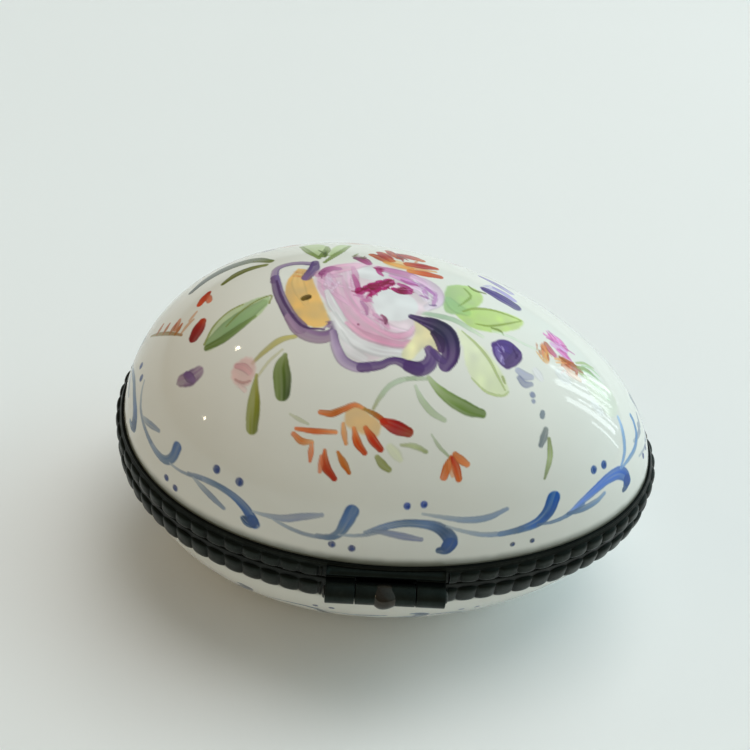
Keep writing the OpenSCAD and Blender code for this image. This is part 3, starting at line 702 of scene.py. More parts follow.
def paint_purple(b):
    """Violet buds and dotted sprigs."""
    bud = dict(opacity=0.9, streak=0.5, soft=0.2)
    b([(-22.5, -10.1), (-21.5, -10.2), (-20.7, -9.9)], (0.7, 1.0, 0.7), ("7a6676", "66506c", "786278"),
      soft=0.3, opacity=0.85, streak=0.6)
    b([(-22.1, -9.7), (-21.2, -10.5)], (0.4, 0.62, 0.4), ("584266", "655070"), opacity=0.75, streak=0.6)
    b([(-23.0, -10.2), (-22.4, -10.4)], (0.2, 0.3), "8a7e86", opacity=0.7)
    b.canvas.patch([(10.7, -3.0), (11.6, -2.0), (12.8, -1.8), (13.9, -2.4), (14.2, -3.4), (13.6, -4.5),
                    (12.7, -5.4), (11.6, -5.0), (10.9, -4.1)], "56427a", 0.95, 0.25, towards="3c2a50",
                   direction=(1, -1), mottle=0.4)
    b([(11.1, -3.1), (12.3, -2.6), (13.6, -2.9)], (0.5, 0.95, 0.6), ("4a3866", "4e3c74", "463460"), **bud)
    b([(13.6, -3.2), (13.2, -4.2), (12.6, -4.9)], (0.6, 0.7, 0.35), ("544168", "4e3c60"), **bud)
    b([(11.3, -3.4), (11.6, -4.2), (12.2, -4.9)], (0.3, 0.35, 0.2), ("6c5c92", "7a6c9c"), opacity=0.7)
    b.scumble([(11.6, -3.2), (12.0, -4.2)], 0.25, 0.3, ("9c8cbc", "8674a8", "b0a4cc"), 6, lean=-1.0,
              opacity=0.6)
    b.scumble([(13.2, -2.6), (13.8, -3.8)], 0.25, 0.25, ("7c68a0", "38264c"), 6, lean=-1.0, opacity=0.6)
    b([(14.0, -5.0), (14.8, -5.2), (15.5, -5.0)], (0.4, 0.6, 0.35), ("8e8fa6", "8f8fa2"), **bud)
    b([(14.2, -5.8), (14.9, -6.2), (15.6, -5.8)], (0.3, 0.45, 0.25), ("6f7088", "7c7e90"), **bud)
    b([(9.2, 6.2), (10.8, 5.8), (12.8, 5.1)], (0.6, 1.05, 0.8), ("38285c", "3c2c68", "4a4068"), **bud)
    b([(8.6, 10.2), (10.2, 9.7), (12.1, 8.6)], (0.45, 0.8, 0.6), ("6c648e", "5e568e", "8a84ac"),
      opacity=0.9, streak=0.5)
    b([(10.2, 7.7), (11.4, 7.3), (12.6, 6.6)], (0.35, 0.6, 0.45), ("7c72ac", "8a80b4"), opacity=0.8,
      streak=0.5)
    b.scumble([(9.0, 7.6), (11.8, 7.6)], 0.5, 0.5, ("6c60a0", "8c84b4"), 7, opacity=0.5)
    b.dot(15.9, -6.9, 0.75, "707488")
    b.dot(16.1, -7.5, 0.55, "7c8090")
    b.dot(17.3, -8.3, 0.7, "6a7078", tall=1.6)
    b([(17.9, -9.5), (17.8, -10.2), (17.6, -11.0)], (0.3, 0.48, 0.3), ("6a6e6c", "5f6468"), **bud)
    b([(18.4, -10.1), (18.8, -11.4), (18.7, -12.6), (18.6, -13.2)], (0.2, 0.38, 0.32, 0.1),
      ("6c7448", "8c9668", "5f6a40"), **bud)


def paint_pink_sprays(b):
    """Pink bud on the left and the pale pink sprig on the right."""
    b.canvas.patch([(-16.6, -10.0), (-15.6, -9.4), (-14.5, -9.8), (-14.1, -10.9), (-14.4, -12.0),
                    (-15.4, -12.3), (-16.4, -11.6), (-16.8, -10.8)], "bd9c98", 0.8, 0.45, mottle=0.25)
    b([(-16.3, -10.2), (-15.5, -10.4), (-14.8, -10.9)], (0.3, 0.5, 0.4), ("a8787c", "b48a8c"), opacity=0.7,
      streak=0.5)
    b([(-16.2, -11.5), (-15.3, -11.9), (-14.5, -11.8)], (0.12, 0.18, 0.12), "9a7470", opacity=0.7)
    b([(-15.5, -12.2), (-14.9, -12.6)], (0.2, 0.3), "c4a6a2", opacity=0.6)
    b([(17.3, 2.5), (18.3, 2.4), (19.2, 1.7)], (0.4, 0.7, 0.4), ("c07aa6", "c06ca0", "b06496"), opacity=0.8,
      streak=0.7)
    b([(17.6, 1.2), (18.5, 1.1), (19.3, 0.4)], (0.4, 0.65, 0.4), ("c88cb6", "c684b0", "b474a2"),
      opacity=0.75, streak=0.7)
    b.scumble([(17.3, 2.4), (18.8, 1.6), (18.9, 0.6)], 0.55, 0.55,
              ("b45c94", "d49ac0", "a45088", "c274a8", "d8acc8"), 26, lean=-0.3, opacity=0.75)
    b([(16.8, 0.6), (17.3, 0.0), (17.9, -0.4)], (0.35, 0.5, 0.35), ("94503c", "9c4450", "a4506c"),
      opacity=0.85, streak=0.6)
    b([(16.6, -0.1), (16.8, -1.1), (17.0, -2.0)], (0.4, 0.55, 0.35), ("b4743c", "c0844c", "bc9064"),
      opacity=0.88, streak=0.6)
    b.scumble([(16.4, 0.2), (16.8, -1.4)], 0.35, 0.4, ("b06c38", "c88c50", "9c5434", "c8785c"), 12,
              lean=-1.1, opacity=0.75)
    b([(19.0, -0.4), (20.0, -0.5), (21.2, -0.5)], (0.4, 0.65, 0.4), ("a04c28", "8c3c1c", "6c4c1c"),
      opacity=0.9, streak=0.6)
    b.scumble([(18.8, -0.7), (20.8, -1.0)], 0.35, 0.55, ("a8502c", "8c3818", "c08c5c", "7c4420"), 14,
              lean=0.3, opacity=0.75)
    b.scumble([(18.6, -1.6), (20.6, -1.9)], 0.3, 0.4, ("d4a89c", "cc9084"), 7, lean=0.6, opacity=0.5)
    b([(20.8, -0.1), (22.0, 0.4), (23.4, 0.2)], (0.2, 0.34, 0.14), ("7c8c50", "6c8448", "8ca470"),
      opacity=0.85, streak=0.6)
    b([(21.0, -0.8), (22.4, -0.8), (24.0, -1.2)], (0.16, 0.3, 0.12), ("8c9c68", "84a070", "9cb48c"),
      opacity=0.8, streak=0.6)
    b([(20.6, 0.4), (21.6, 1.3), (22.8, 1.6)], (0.12, 0.22, 0.1), ("84945c", "94a478"), opacity=0.8)
    b([(19.2, -1.2), (20.2, -1.6), (21.2, -1.8)], (0.3, 0.5, 0.25), ("c4907c", "d0a490", "c4a890"),
      opacity=0.7)
    b([(21.3, 0.6), (22.4, 1.2), (23.6, 1.0)], (0.08, 0.16, 0.08), "8fae80", opacity=0.75)
    b([(21.3, -0.2), (22.6, 0.3), (23.8, 0.3)], (0.1, 0.18, 0.08), "8aa680", opacity=0.7)
    b.canvas.patch([(21.6, -0.8), (23.2, 0.2), (25.2, 0.2), (26.2, -1.6), (25.4, -3.4), (23.4, -3.0),
                    (22.0, -1.9)], "bccfae", 0.7, 0.5, mottle=0.25)
    b([(22.0, -1.4), (23.6, -1.2), (25.0, -1.4)], (0.12, 0.3, 0.12), "a9c4a0", opacity=0.6)
    b([(18.6, -2.6), (19.8, -3.0)], (0.5, 0.8, 0.4), "e2cfd0", opacity=0.6, soft=0.4)
    b([(15.9, -4.0), (16.6, -4.6)], (0.4, 0.6, 0.3), "ccbccc", opacity=0.6, soft=0.35)
    b([(23.0, -3.6), (24.2, -3.8)], (0.3, 0.5, 0.3), "dfc9cc", opacity=0.5, soft=0.4)


def paint_back(b):
    """Sprigs on the far side of the lid, in the same manner."""
    leaf = dict(opacity=0.85, streak=0.4, soft=0.2)
    for x, y, lean in ((-16.0, 11.5, -0.6), (13.0, 13.0, 0.7), (-3.0, 17.0, 0.2)):
        b([(x, y), (x + lean, y + 1.6), (x + 2.2 * lean, y + 3.0)], (0.12, 0.5, 0.15), ("8a9664", "5f7038"),
          **leaf)
        b([(x - 1.6, y + 0.4), (x - 0.6, y + 0.9), (x, y + 0.2)], (0.12, 0.4, 0.15), ("93a070", "6c7c44"),
          **leaf)
        b([(x + 0.6, y - 0.8), (x + 1.6, y - 0.4), (x + 2.4, y + 0.4)], (0.15, 0.45, 0.3),
          ("b4623a", "8c3018"), **leaf)
        b([(x - 0.4, y - 1.2), (x - 1.2, y - 1.4)], (0.3, 0.55), ("6a5a78", "5a4a6c"), **leaf)
    b([(-8.0, 13.6), (-6.6, 14.0), (-5.6, 13.4)], (0.4, 0.7, 0.4), ("a04a2c", "8c2f18"), **leaf)
    b([(-7.6, 12.6), (-6.4, 12.4)], (0.3, 0.55, 0.3), ("b8683e", "a5481e"), **leaf)
    b([(4.0, 14.2), (5.4, 13.8), (6.6, 14.4)], (0.4, 0.8, 0.4), ("c490a4", "b4708c"), **leaf)
    b([(4.4, 12.8), (5.6, 12.6)], (0.4, 0.7, 0.4), ("d0a8b4", "c48fa4"), **leaf)


BLUE_DEEP, BLUE_MID, BLUE_GREY, BLUE_PALE = "2c3e5c", "4d6078", "6f7988", "8f979f"
DOT_BLUE, DOT_INK, DOT_CORE = "38426a", "383c5c", "26356e"
WET = dict(opacity=0.92, streak=0.5, soft=0.2, pool=0.12)
LID_SCROLLS = (91.0, 112.5, 133.5, 154.5, 171.8)
BASE_SCROLLS = (19.0, 40.6, 58.4, 80.0, 101.5, 123.0, 144.5, 166.0)
BASE_SHIFT = 4.2  # how much further from the parting plane the base's border runs


def paint_curl(b, s):
    """Upright curl with a round head at s, on a stem that comes in from the left."""
    lean, tall, stem = 0.2, 5.6, 8.6
    b([(s - stem, 3.5), (s - stem * 0.62, 2.6), (s - 2.6, 2.4), (s - 1.2, 2.9)], (0.12, 0.2, 0.26, 0.34),
      (BLUE_PALE, BLUE_GREY, BLUE_MID), **WET)
    b([(s - 2.4, 2.4), (s - 1.0, 3.0), (s - 0.2 - lean, 4.3), (s + lean, tall)], (0.28, 0.42, 0.62, 0.78),
      (BLUE_GREY, BLUE_MID, BLUE_DEEP, BLUE_DEEP), **WET)
    b.dot(s + lean * 0.8, tall - 0.2, 1.35, BLUE_DEEP, opacity=0.55, soft=0.3, streak=0.4)


def paint_arc(b, s, reach, hook):
    """Arc that rises from s and falls to a blob reach further on, with a small hook."""
    top = 4.6
    end = s + reach
    b([(s, 3.3), (s + 1.6, 4.0), (s + 3.4, top), (s + reach * 0.55, top + 0.15),
       (s + reach * 0.8, top - 0.5), (end - 0.5, 3.2), (end, 2.1)], (0.1, 0.26, 0.4, 0.46, 0.5, 0.66, 0.8),
      (BLUE_GREY, "5c6e8c", BLUE_MID, BLUE_MID, "40567e", BLUE_DEEP), **WET)
    b([(end + 0.05, 2.3), (end - 0.4, 1.6), (end - 0.7 - hook, 1.6)], (0.66, 0.5, 0.26),
      (BLUE_DEEP, BLUE_DEEP, BLUE_MID), **WET)


def paint_sprig(b, points, width, colour=None):
    """Thin leaf or stem of the border."""
    b(points, width, colour or (BLUE_PALE, BLUE_GREY, BLUE_GREY), **WET)


def paint_dots(b, places, size, colour):
    """Round dabs with a darker core."""
    for s, h in places:
        b.dot(s, h, size * 0.85, colour, tall=1.25, opacity=0.95, soft=0.18, streak=0.6)
        b.dot(s + 0.1, h - 0.1, size * 0.45, DOT_CORE, opacity=0.6, soft=0.2)


def paint_border_unit(b, s, reach, hook):
    """One scroll of the border: curl, arc, leaves and pairs of dots."""
    paint_curl(b, s)
    paint_sprig(b, [(s - 8.4, 5.5), (s - 6.2, 4.9), (s - 4.4, 4.8), (s - 2.6, 5.4)],
                (0.14, 0.34, 0.42, 0.2))
    paint_sprig(b, [(s, 3.2), (s + 2.0, 3.3), (s + 3.6, 3.9)], (0.12, 0.18, 0.22))
    paint_arc(b, s + 2.4, reach, hook)
    paint_sprig(b, [(s + 3.0, 3.6), (s + 5.0, 3.1), (s + 7.4, 2.7)], (0.16, 0.4, 0.22))
    paint_dots(b, [(s + 6.3, 6.9), (s + 8.4, 6.7)], 1.0, DOT_BLUE)
    paint_dots(b, [(s - 1.2, 1.2), (s + 0.8, 1.1)], 0.8, DOT_INK)


def paint_front_scrolls(b):
    """The three scrolls on the hinge's side, each a little different."""
    # left scroll
    paint_sprig(b, [(8.6, 7.2), (9.6, 6.1), (11.2, 4.9), (13.2, 4.1), (15.5, 3.5)],
                (0.14, 0.22, 0.26, 0.28, 0.3))
    b([(13.6, 3.9), (15.6, 3.4), (17.6, 3.1), (19.0, 3.4), (19.8, 4.5), (19.9, 5.8)],
      (0.2, 0.34, 0.42, 0.5, 0.6, 0.66), (BLUE_GREY, "66758e", BLUE_MID, "435880"), **WET)
    paint_sprig(b, [(12.2, 4.6), (13.6, 4.9), (15.0, 5.3), (16.2, 5.6)], (0.14, 0.4, 0.4, 0.2))
    paint_sprig(b, [(19.6, 3.4), (21.4, 3.5), (23.2, 3.9), (24.4, 4.2)], (0.14, 0.18, 0.2, 0.2))
    b([(22.6, 3.9), (24.6, 4.35), (26.8, 4.5), (28.8, 4.2), (30.3, 3.5), (31.3, 2.6), (31.9, 1.7)],
      (0.2, 0.34, 0.38, 0.4, 0.48, 0.6, 0.7), (BLUE_GREY, "66758e", BLUE_MID, "4a6084", "365080", "2c467a"),
      **WET)
    b([(31.7, 2.0), (31.3, 1.5), (30.7, 1.8)], (0.72, 0.66, 0.42), ("284274", BLUE_DEEP), **WET)
    paint_sprig(b, [(23.4, 3.8), (25.2, 3.2), (27.0, 2.5), (28.0, 2.1)], (0.14, 0.38, 0.42, 0.26))
    paint_dots(b, [(26.1, 6.3), (29.3, 6.1)], 1.15, DOT_BLUE)
    paint_dots(b, [(19.6, 1.3), (21.2, 0.9)], 0.95, DOT_INK)
    # middle scroll
    paint_sprig(b, [(31.6, 3.2), (33.4, 3.3), (35.4, 3.6), (37.2, 4.3), (39.4, 5.0)],
                (0.14, 0.3, 0.48, 0.44, 0.24), (BLUE_PALE, "7c8494", "787e92", "808694"))
    paint_sprig(b, [(33.6, 3.2), (35.6, 2.6), (37.6, 2.2), (39.6, 2.2), (41.0, 2.5)],
                (0.12, 0.22, 0.26, 0.26, 0.3))
    b([(39.2, 2.3), (40.6, 2.4), (41.6, 3.2), (42.2, 4.6), (42.7, 6.0)], (0.3, 0.42, 0.58, 0.74, 0.78),
      (BLUE_GREY, BLUE_MID, BLUE_MID, "3e5884", "3a5480"), **WET)
    paint_sprig(b, [(41.6, 2.9), (43.6, 3.1), (45.4, 3.6), (46.6, 4.2)], (0.16, 0.2, 0.24, 0.24))
    b([(44.4, 3.6), (46.2, 4.4), (48.4, 5.0), (50.4, 5.0), (52.2, 4.6), (53.4, 3.7), (54.0, 2.6),
       (53.7, 1.9)], (0.2, 0.36, 0.44, 0.46, 0.52, 0.66, 0.8, 0.74),
      (BLUE_GREY, "5e7090", BLUE_MID, "4e6488", BLUE_DEEP, "2c487e"), **WET)
    b([(53.9, 2.3), (53.5, 1.6), (52.8, 1.5)], (0.85, 0.74, 0.42), ("2a467a", BLUE_DEEP), **WET)
    paint_sprig(b, [(45.2, 3.9), (47.0, 3.7), (49.0, 3.3), (50.6, 3.0)], (0.16, 0.42, 0.46, 0.26),
                (BLUE_GREY, "6e748c", "6a6e88"))
    paint_dots(b, [(48.8, 7.1), (50.7, 7.3)], 0.95, "3f4f8a")
    paint_dots(b, [(40.9, 1.5), (43.1, 1.3)], 1.0, DOT_INK)
    # right scroll
    paint_sprig(b, [(50.6, 6.2), (53.0, 5.7), (55.6, 5.2), (58.0, 5.2), (60.4, 5.9)],
                (0.12, 0.24, 0.38, 0.42, 0.22), (BLUE_PALE, "7a8698", "6c7c92", "707e96"))
    paint_sprig(b, [(53.4, 4.6), (55.2, 3.9), (57.4, 3.2), (59.8, 2.9), (62.2, 3.0)],
                (0.12, 0.24, 0.3, 0.34, 0.36), (BLUE_PALE, "78869a", "687a96"))
    b([(59.6, 2.9), (62.0, 3.0), (64.2, 3.4), (65.6, 4.4), (66.4, 5.8)], (0.3, 0.42, 0.58, 0.8, 0.84),
      ("607898", BLUE_MID, "305490", "1c3f76", "1f4484"), **WET)
    paint_sprig(b, [(64.2, 3.1), (66.4, 2.9), (68.6, 3.2), (70.4, 3.7)], (0.14, 0.22, 0.3, 0.3),
                (BLUE_MID, "5a769c"))
    b([(68.4, 3.3), (70.4, 4.1), (72.6, 4.7), (74.8, 5.0), (76.8, 4.7), (78.0, 3.8), (78.3, 2.7)],
      (0.24, 0.42, 0.52, 0.6, 0.72, 0.82, 0.6), ("6c84b8", "4f6db0", "3d5fac", "2b50a4", "1a4080"), **WET)
    b([(78.2, 3.0), (77.8, 2.4), (77.3, 2.2)], (0.7, 0.58, 0.34), ("1a4080", BLUE_DEEP), **WET)
    paint_sprig(b, [(68.2, 3.3), (70.2, 3.1), (72.4, 3.2), (73.8, 3.6)], (0.16, 0.4, 0.42, 0.24),
                (BLUE_MID, "6c84a4"))
    paint_dots(b, [(72.9, 7.0), (74.8, 6.8)], 1.1, "2c4478")
    paint_dots(b, [(61.2, 1.2), (63.6, 1.1)], 0.7, "444a58")
    paint_dots(b, [(83.6, 2.6), (85.4, 2.4)], 0.8, DOT_BLUE)
    paint_sprig(b, [(77.6, 5.0), (79.4, 6.0), (81.2, 7.6), (82.4, 9.0)], (0.16, 0.3, 0.34, 0.2),
                ("6684ac", "6080a8", "8aa2c0"))
    paint_sprig(b, [(77.8, 4.9), (80.0, 4.9), (82.2, 4.9), (84.4, 5.4), (86.0, 6.6)],
                (0.16, 0.28, 0.32, 0.34, 0.3), ("6684ac", "4e729c", "4e729c"))


def paint_border(canvas, side, shift, starts):
    """The blue border round a rim; only the lid's front scrolls are drawn one by one."""
    b = Brush(canvas, lambda points: on_band(np.asarray(points) + [0, shift], side))
    for k, s in enumerate(starts):
        paint_border_unit(b, s, 9.0 + 0.5 * (k % 3), 0.3 + 0.35 * (k % 3))
    if side > 0:
        paint_front_scrolls(b)


# ---------------------------------------------------------------- porcelain
def disc_grid(columns, rows):
    """Radius and angle of an even grid that covers a disc, row by row."""
    u, v = np.meshgrid(np.linspace(-1, 1, columns), np.linspace(-1, 1, rows))
    x, y = u * np.sqrt(1 - v * v / 2), v * np.sqrt(1 - u * u / 2)
    return np.hypot(x, y), np.arctan2(y, x)


def bowl_points(columns, rows, inset, rim_z, floor_z):
    """Half egg over the disc grid: outline at rim_z at the edge, flattened at floor_z."""
    radius, angle = disc_grid(columns, rows)
    ends = []
    for sign in (-1, 1):
        x = sign * np.linspace(0, EGG_L / 2 - inset, 20000)
        ends.append(x[egg_r(x, inset) >= rim_z][-1])
    middle, half = (ends[0] + ends[1]) / 2, (ends[1] - ends[0]) / 2
    rim_x = middle + half * np.cos(angle)
    rim_y = np.sign(np.sin(angle)) * np.sqrt(np.maximum(egg_r(rim_x, inset) ** 2 - rim_z**2, 0))
    widest_turn = math.pi / 2 * 0.985
    spread = np.sin(radius * widest_turn) / math.sin(widest_turn)
    x = (rim_x + EGG_SHIFT) * spread - EGG_SHIFT
    y = rim_y * spread
    z = np.sqrt(np.maximum(egg_r(x, inset) ** 2 - y * y, rim_z**2))
    if floor_z is not None:
        blend = 0.6
        h = np.clip(0.5 + (floor_z - z) / (2 * blend), 0, 1)
        z = floor_z + (z - floor_z) * h - blend * h * (1 - h)
    return np.stack([x, y, z], -1)


def border_loop(columns, rows):
    """Grid indices round the edge of a grid."""
    top = [(0, c) for c in range(columns - 1)]
    right = [(r, columns - 1) for r in range(rows - 1)]
    bottom = [(rows - 1, c) for c in range(columns - 1, 0, -1)]
    left = [(r, 0) for r in range(rows - 1, 0, -1)]
    return np.array([r * columns + c for r, c in top + right + bottom + left])


def shell_mesh(columns, rows, step, side, floor_z):
    """Closed shell: fine outside, coarse inside and a rim that joins them."""
    outer = bowl_points(columns, rows, 0.0, RIM_Z, floor_z)
    in_columns, in_rows = (columns - 1) // step + 1, (rows - 1) // step + 1
    inner_floor = None if floor_z is None else floor_z - FOOT_WALL
    inner = bowl_points(in_columns, in_rows, WALL_T, RIM_Z, inner_floor)
    outer_faces = wrap_faces(rows, columns, False, False)
    inner_faces = wrap_faces(in_rows, in_columns, False, False)[:, ::-1] + rows * columns
    outer_edge = border_loop(columns, rows)
    inner_edge = border_loop(in_columns, in_rows) + rows * columns
    count = len(inner_edge)
    rim_faces = []
    for k in range(count):
        outside = [outer_edge[(k * step + j) % len(outer_edge)] for j in range(step + 1)]
        rim_faces.append(outside + [inner_edge[(k + 1) % count], inner_edge[k]])
    faces = [list(f) for f in outer_faces] + [list(f) for f in inner_faces] + rim_faces
    verts = np.vstack([outer.reshape(-1, 3), inner.reshape(-1, 3)])
    if side < 0:
        verts[:, 2] *= -1
    else:
        faces = flipped(faces)
    return verts, faces, columns * rows


def egg_normals(points):
    """Outward normals of the egg at points on it."""
    x, y, z = points.T
    slope = (egg_r(x + 0.01) ** 2 - egg_r(x - 0.01) ** 2) / 0.04
    normals = np.stack([-slope, y, z], -1)
    return normals / np.maximum(np.linalg.norm(normals, axis=1), 1e-9)[:, None]


GLAZE_WHITE = "e6e4db"


def build_shell(name, side, floor_z, paint, material):
    fine = 4
    step = 5  # outside points for each inside point
    columns, rows = 35 * fine * step + 1, 28 * fine * step + 1
    verts, faces, painted = shell_mesh(columns, rows, step, side, floor_z)
    canvas = Canvas(verts[:painted], egg_normals(verts[:painted]), GLAZE_WHITE)
    paint(canvas)
    # painted shade on the porcelain where it meets the bezel
    canvas.shade_edge(LID_BEZEL_H if side > 0 else BASE_BEZEL_H)
    piece = new_piece(name, verts, faces, BODY[side], material)
    colour = np.tile(rgb(GLAZE_WHITE), (len(verts), 1))
    colour[:painted] = canvas.colour
    enamel = np.zeros(len(verts))
    enamel[:painted] = canvas.enamel
    set_colour(piece, "paint", to_linear(colour))
    set_colour(piece, "enamel", enamel)


def paint_lid(canvas):
    """Border first, then the flowers from back to front."""
    paint_border(canvas, 1, 0.0, LID_SCROLLS)
    b = Brush(canvas, on_top)
    paint_back(b)
    paint_green(b)
    paint_ribbon_left(b)
    paint_rose(b)
    paint_ribbon_right(b)
    paint_red_sprays(b)
    paint_purple(b)
    paint_pink_sprays(b)


def paint_base(canvas):
    """The border alone."""
    paint_border(canvas, -1, BASE_SHIFT, BASE_SCROLLS)


# ---------------------------------------------------------------- materials
METAL_GRAIN, GLAZE_RIPPLE = 0.00003, 0.00004  # heights of the fine relief, in metres


def new_material(name):
    """A material with its nodes, links and shader."""
    material = bpy.data.materials.new(name)
    material.use_nodes = True
    nodes = material.node_tree.nodes
    return material, nodes, material.node_tree.links, nodes["Principled BSDF"]


def add(nodes, kind, **values):
    """A node with its inputs or properties set by name."""
    node = nodes.new(kind)
    for key, value in values.items():
        key = key.replace("_", " ")
        if key in node.inputs:
            node.inputs[key].default_value = value
        else:
            setattr(node, key.replace(" ", "_"), value)
    return node


def noise_node(nodes, links, scale, detail=3.0, roughness=0.55):
    """Noise fixed to the object, scale to the metre."""
    place = add(nodes, "ShaderNodeTexCoord")
    noise = add(nodes, "ShaderNodeTexNoise", Scale=scale, Detail=detail, Roughness=roughness)
    links.new(place.outputs["Object"], noise.inputs["Vector"])
    return noise.outputs["Fac"]


def map_range(nodes, links, value, low, high, new_low, new_high):
    """The value, moved from one range to another."""
    node = add(nodes, "ShaderNodeMapRange")
    for key, number in (("From Min", low), ("From Max", high), ("To Min", new_low), ("To Max", new_high)):
        node.inputs[key].default_value = number
    links.new(value, node.inputs["Value"])
    return node.outputs["Result"]


def mix_colour(nodes, links, factor, a, b, blend="MIX"):
    """Mixes a and b, which are colours or outputs."""
    node = add(nodes, "ShaderNodeMix", data_type="RGBA", blend_type=blend)
    for value, socket in ((factor, node.inputs[0]), (a, node.inputs[6]), (b, node.inputs[7])):
        if hasattr(value, "is_output"):
            links.new(value, socket)
        elif isinstance(value, (int, float)):
            socket.default_value = value
        else:
            socket.default_value = (*value, 1)
    return node.outputs[2]


def clouded(nodes, links, colour, scale, amount):
    """The colour, made lighter and darker by up to amount in soft clouds."""
    cloud = map_range(nodes, links, noise_node(nodes, links, scale), 0.3, 0.7, 1 - amount, 1 + amount)
    return mix_colour(nodes, links, 1.0, colour, cloud, "MULTIPLY")


def add_bump(nodes, links, shader, height, strength, distance):
    """Fine relief from a height output; distance is in metres."""
    bump = add(nodes, "ShaderNodeBump", Strength=strength, Distance=distance)
    links.new(height, bump.inputs["Height"])
    links.new(bump.outputs["Normal"], shader.inputs["Normal"])


def porcelain_material():
    """Clear glossy glaze over the colour paint, which also holds the painted shade along the bezels; a
    little rougher and raised where there is enamel.
    """
    material, nodes, links, shader = new_material("glazed porcelain")
    paint = add(nodes, "ShaderNodeAttribute", attribute_name="paint")
    enamel = add(nodes, "ShaderNodeAttribute", attribute_name="enamel")
    links.new(clouded(nodes, links, paint.outputs["Color"], 60.0, 0.03), shader.inputs["Base Color"])
    rough = map_range(nodes, links, enamel.outputs["Fac"], 0.0, 1.0, 0.05, 0.12)
    links.new(rough, shader.inputs["Roughness"])
    shader.inputs["IOR"].default_value = 1.5
    ripple = add(nodes, "ShaderNodeMath", operation="MULTIPLY_ADD")
    links.new(noise_node(nodes, links, 450.0, 2.0), ripple.inputs[0])
    ripple.inputs[1].default_value = 0.12
    links.new(enamel.outputs["Fac"], ripple.inputs[2])
    add_bump(nodes, links, shader, ripple.outputs[0], 0.25, GLAZE_RIPPLE)
    return material


def metal_material(name, dark, worn, rough=(0.38, 0.6)):
    """Blackened metal: near-black patina, lighter in patches, with a worn tone where the stored wear is
    high; besides real wear, that value holds a painted highlight along the bezels' crest and painted shade
    on the hinge leaves.
    """
    material, nodes, links, shader = new_material(name)
    wear_and_painted_light = add(nodes, "ShaderNodeAttribute", attribute_name="wear_and_painted_light")
    patch = noise_node(nodes, links, 420.0, 4.0, 0.65)
    fleck = noise_node(nodes, links, 2600.0, 3.0, 0.6)
    patchy = map_range(nodes, links, patch, 0.35, 0.7, 0.0, 1.0)
    patina = mix_colour(nodes, links, patchy, dark, tuple(1.5 * c for c in dark))
    amount = add(nodes, "ShaderNodeMath", operation="MULTIPLY")
    links.new(wear_and_painted_light.outputs["Fac"], amount.inputs[0])
    links.new(map_range(nodes, links, fleck, 0.3, 0.7, 0.35, 1.0), amount.inputs[1])
    links.new(mix_colour(nodes, links, amount.outputs[0], patina, worn), shader.inputs["Base Color"])
    shader.inputs["Metallic"].default_value = 0.9
    links.new(map_range(nodes, links, patch, 0.3, 0.7, rough[1], rough[0]), shader.inputs["Roughness"])
    add_bump(nodes, links, shader, fleck, 0.5, METAL_GRAIN)
    return material


def plain_material(name, colour, rough, scale, amount):
    """Matt material with soft clouds in its colour."""
    material, nodes, links, shader = new_material(name)
    links.new(clouded(nodes, links, colour, scale, amount), shader.inputs["Base Color"])
    shader.inputs["Roughness"].default_value = rough
    return material


PORCELAIN = porcelain_material()
BEZEL_METAL = metal_material("blackened bezel", (0.004, 0.005, 0.004), (0.036, 0.042, 0.034),
                             rough=(0.28, 0.46))
TRIM_METAL = metal_material("blackened gadroons", (0.006, 0.008, 0.006), (0.022, 0.028, 0.023),
                            rough=(0.3, 0.5))
HINGE_METAL = metal_material("blackened hinge", (0.010, 0.014, 0.012), (0.036, 0.044, 0.037),
                             rough=(0.3, 0.46))
BEAD_METAL = metal_material("blackened bead", (0.028, 0.027, 0.023), (0.07, 0.06, 0.05), rough=(0.16, 0.3))
PIN_METAL = metal_material("hinge wire", (0.03, 0.033, 0.03), (0.14, 0.14, 0.13))
BONDING = plain_material("bonding compound", (0.62, 0.6, 0.55), 0.85, 900.0, 0.12)


# ---------------------------------------------------------------- bezels
BEZEL_STEPS, RING_STEPS, POINTS_PER_GADROON = 900, 700, 20


def hinge_frame():
    """Middle of the hinge axis, its direction and the direction towards the box, in the plane."""
    s = np.interp(HINGE_X, RIM.x[:len(RIM.x) // 2], RIM.s[:len(RIM.x) // 2])
    x, y, nx, ny = (float(v) for v in RIM.at(s))
    place = np.array([x + HINGE_OFFSET * nx, y + HINGE_OFFSET * ny, 0.0])
    return float(s), place, np.array([-ny, nx, 0.0]), np.array([-nx, -ny, 0.0])


HINGE_S, HINGE_PLACE, HINGE_ALONG, HINGE_INWARD = hinge_frame()
CLASP_S = float(np.interp(EGG_SHIFT, -RIM.x[len(RIM.x) // 2:], RIM.s[len(RIM.x) // 2:]))


def in_hinge(points):
    """Points given along the pin, towards the box and up, to the box's frame."""
    axes = np.array([HINGE_ALONG, HINGE_INWARD, [0, 0, 1.0]])
    return HINGE_PLACE + np.asarray(points, float) @ axes


def rounded(points, radius, steps=3):
    """A closed outline with its corners cut round."""
    points = np.asarray(points, float)
    out = []
    for k in range(len(points)):
        before, here, after = points[k - 1], points[k], points[(k + 1) % len(points)]
        a, b = before - here, after - here
        cut = min(radius, np.linalg.norm(a) / 2.2, np.linalg.norm(b) / 2.2)
        a, b = here + a / np.linalg.norm(a) * cut, here + b / np.linalg.norm(b) * cut
        for t in np.linspace(0, 1, steps):
            out.append((1 - t) ** 2 * a + 2 * t * (1 - t) * here + t * t * b)
    return np.array(out)


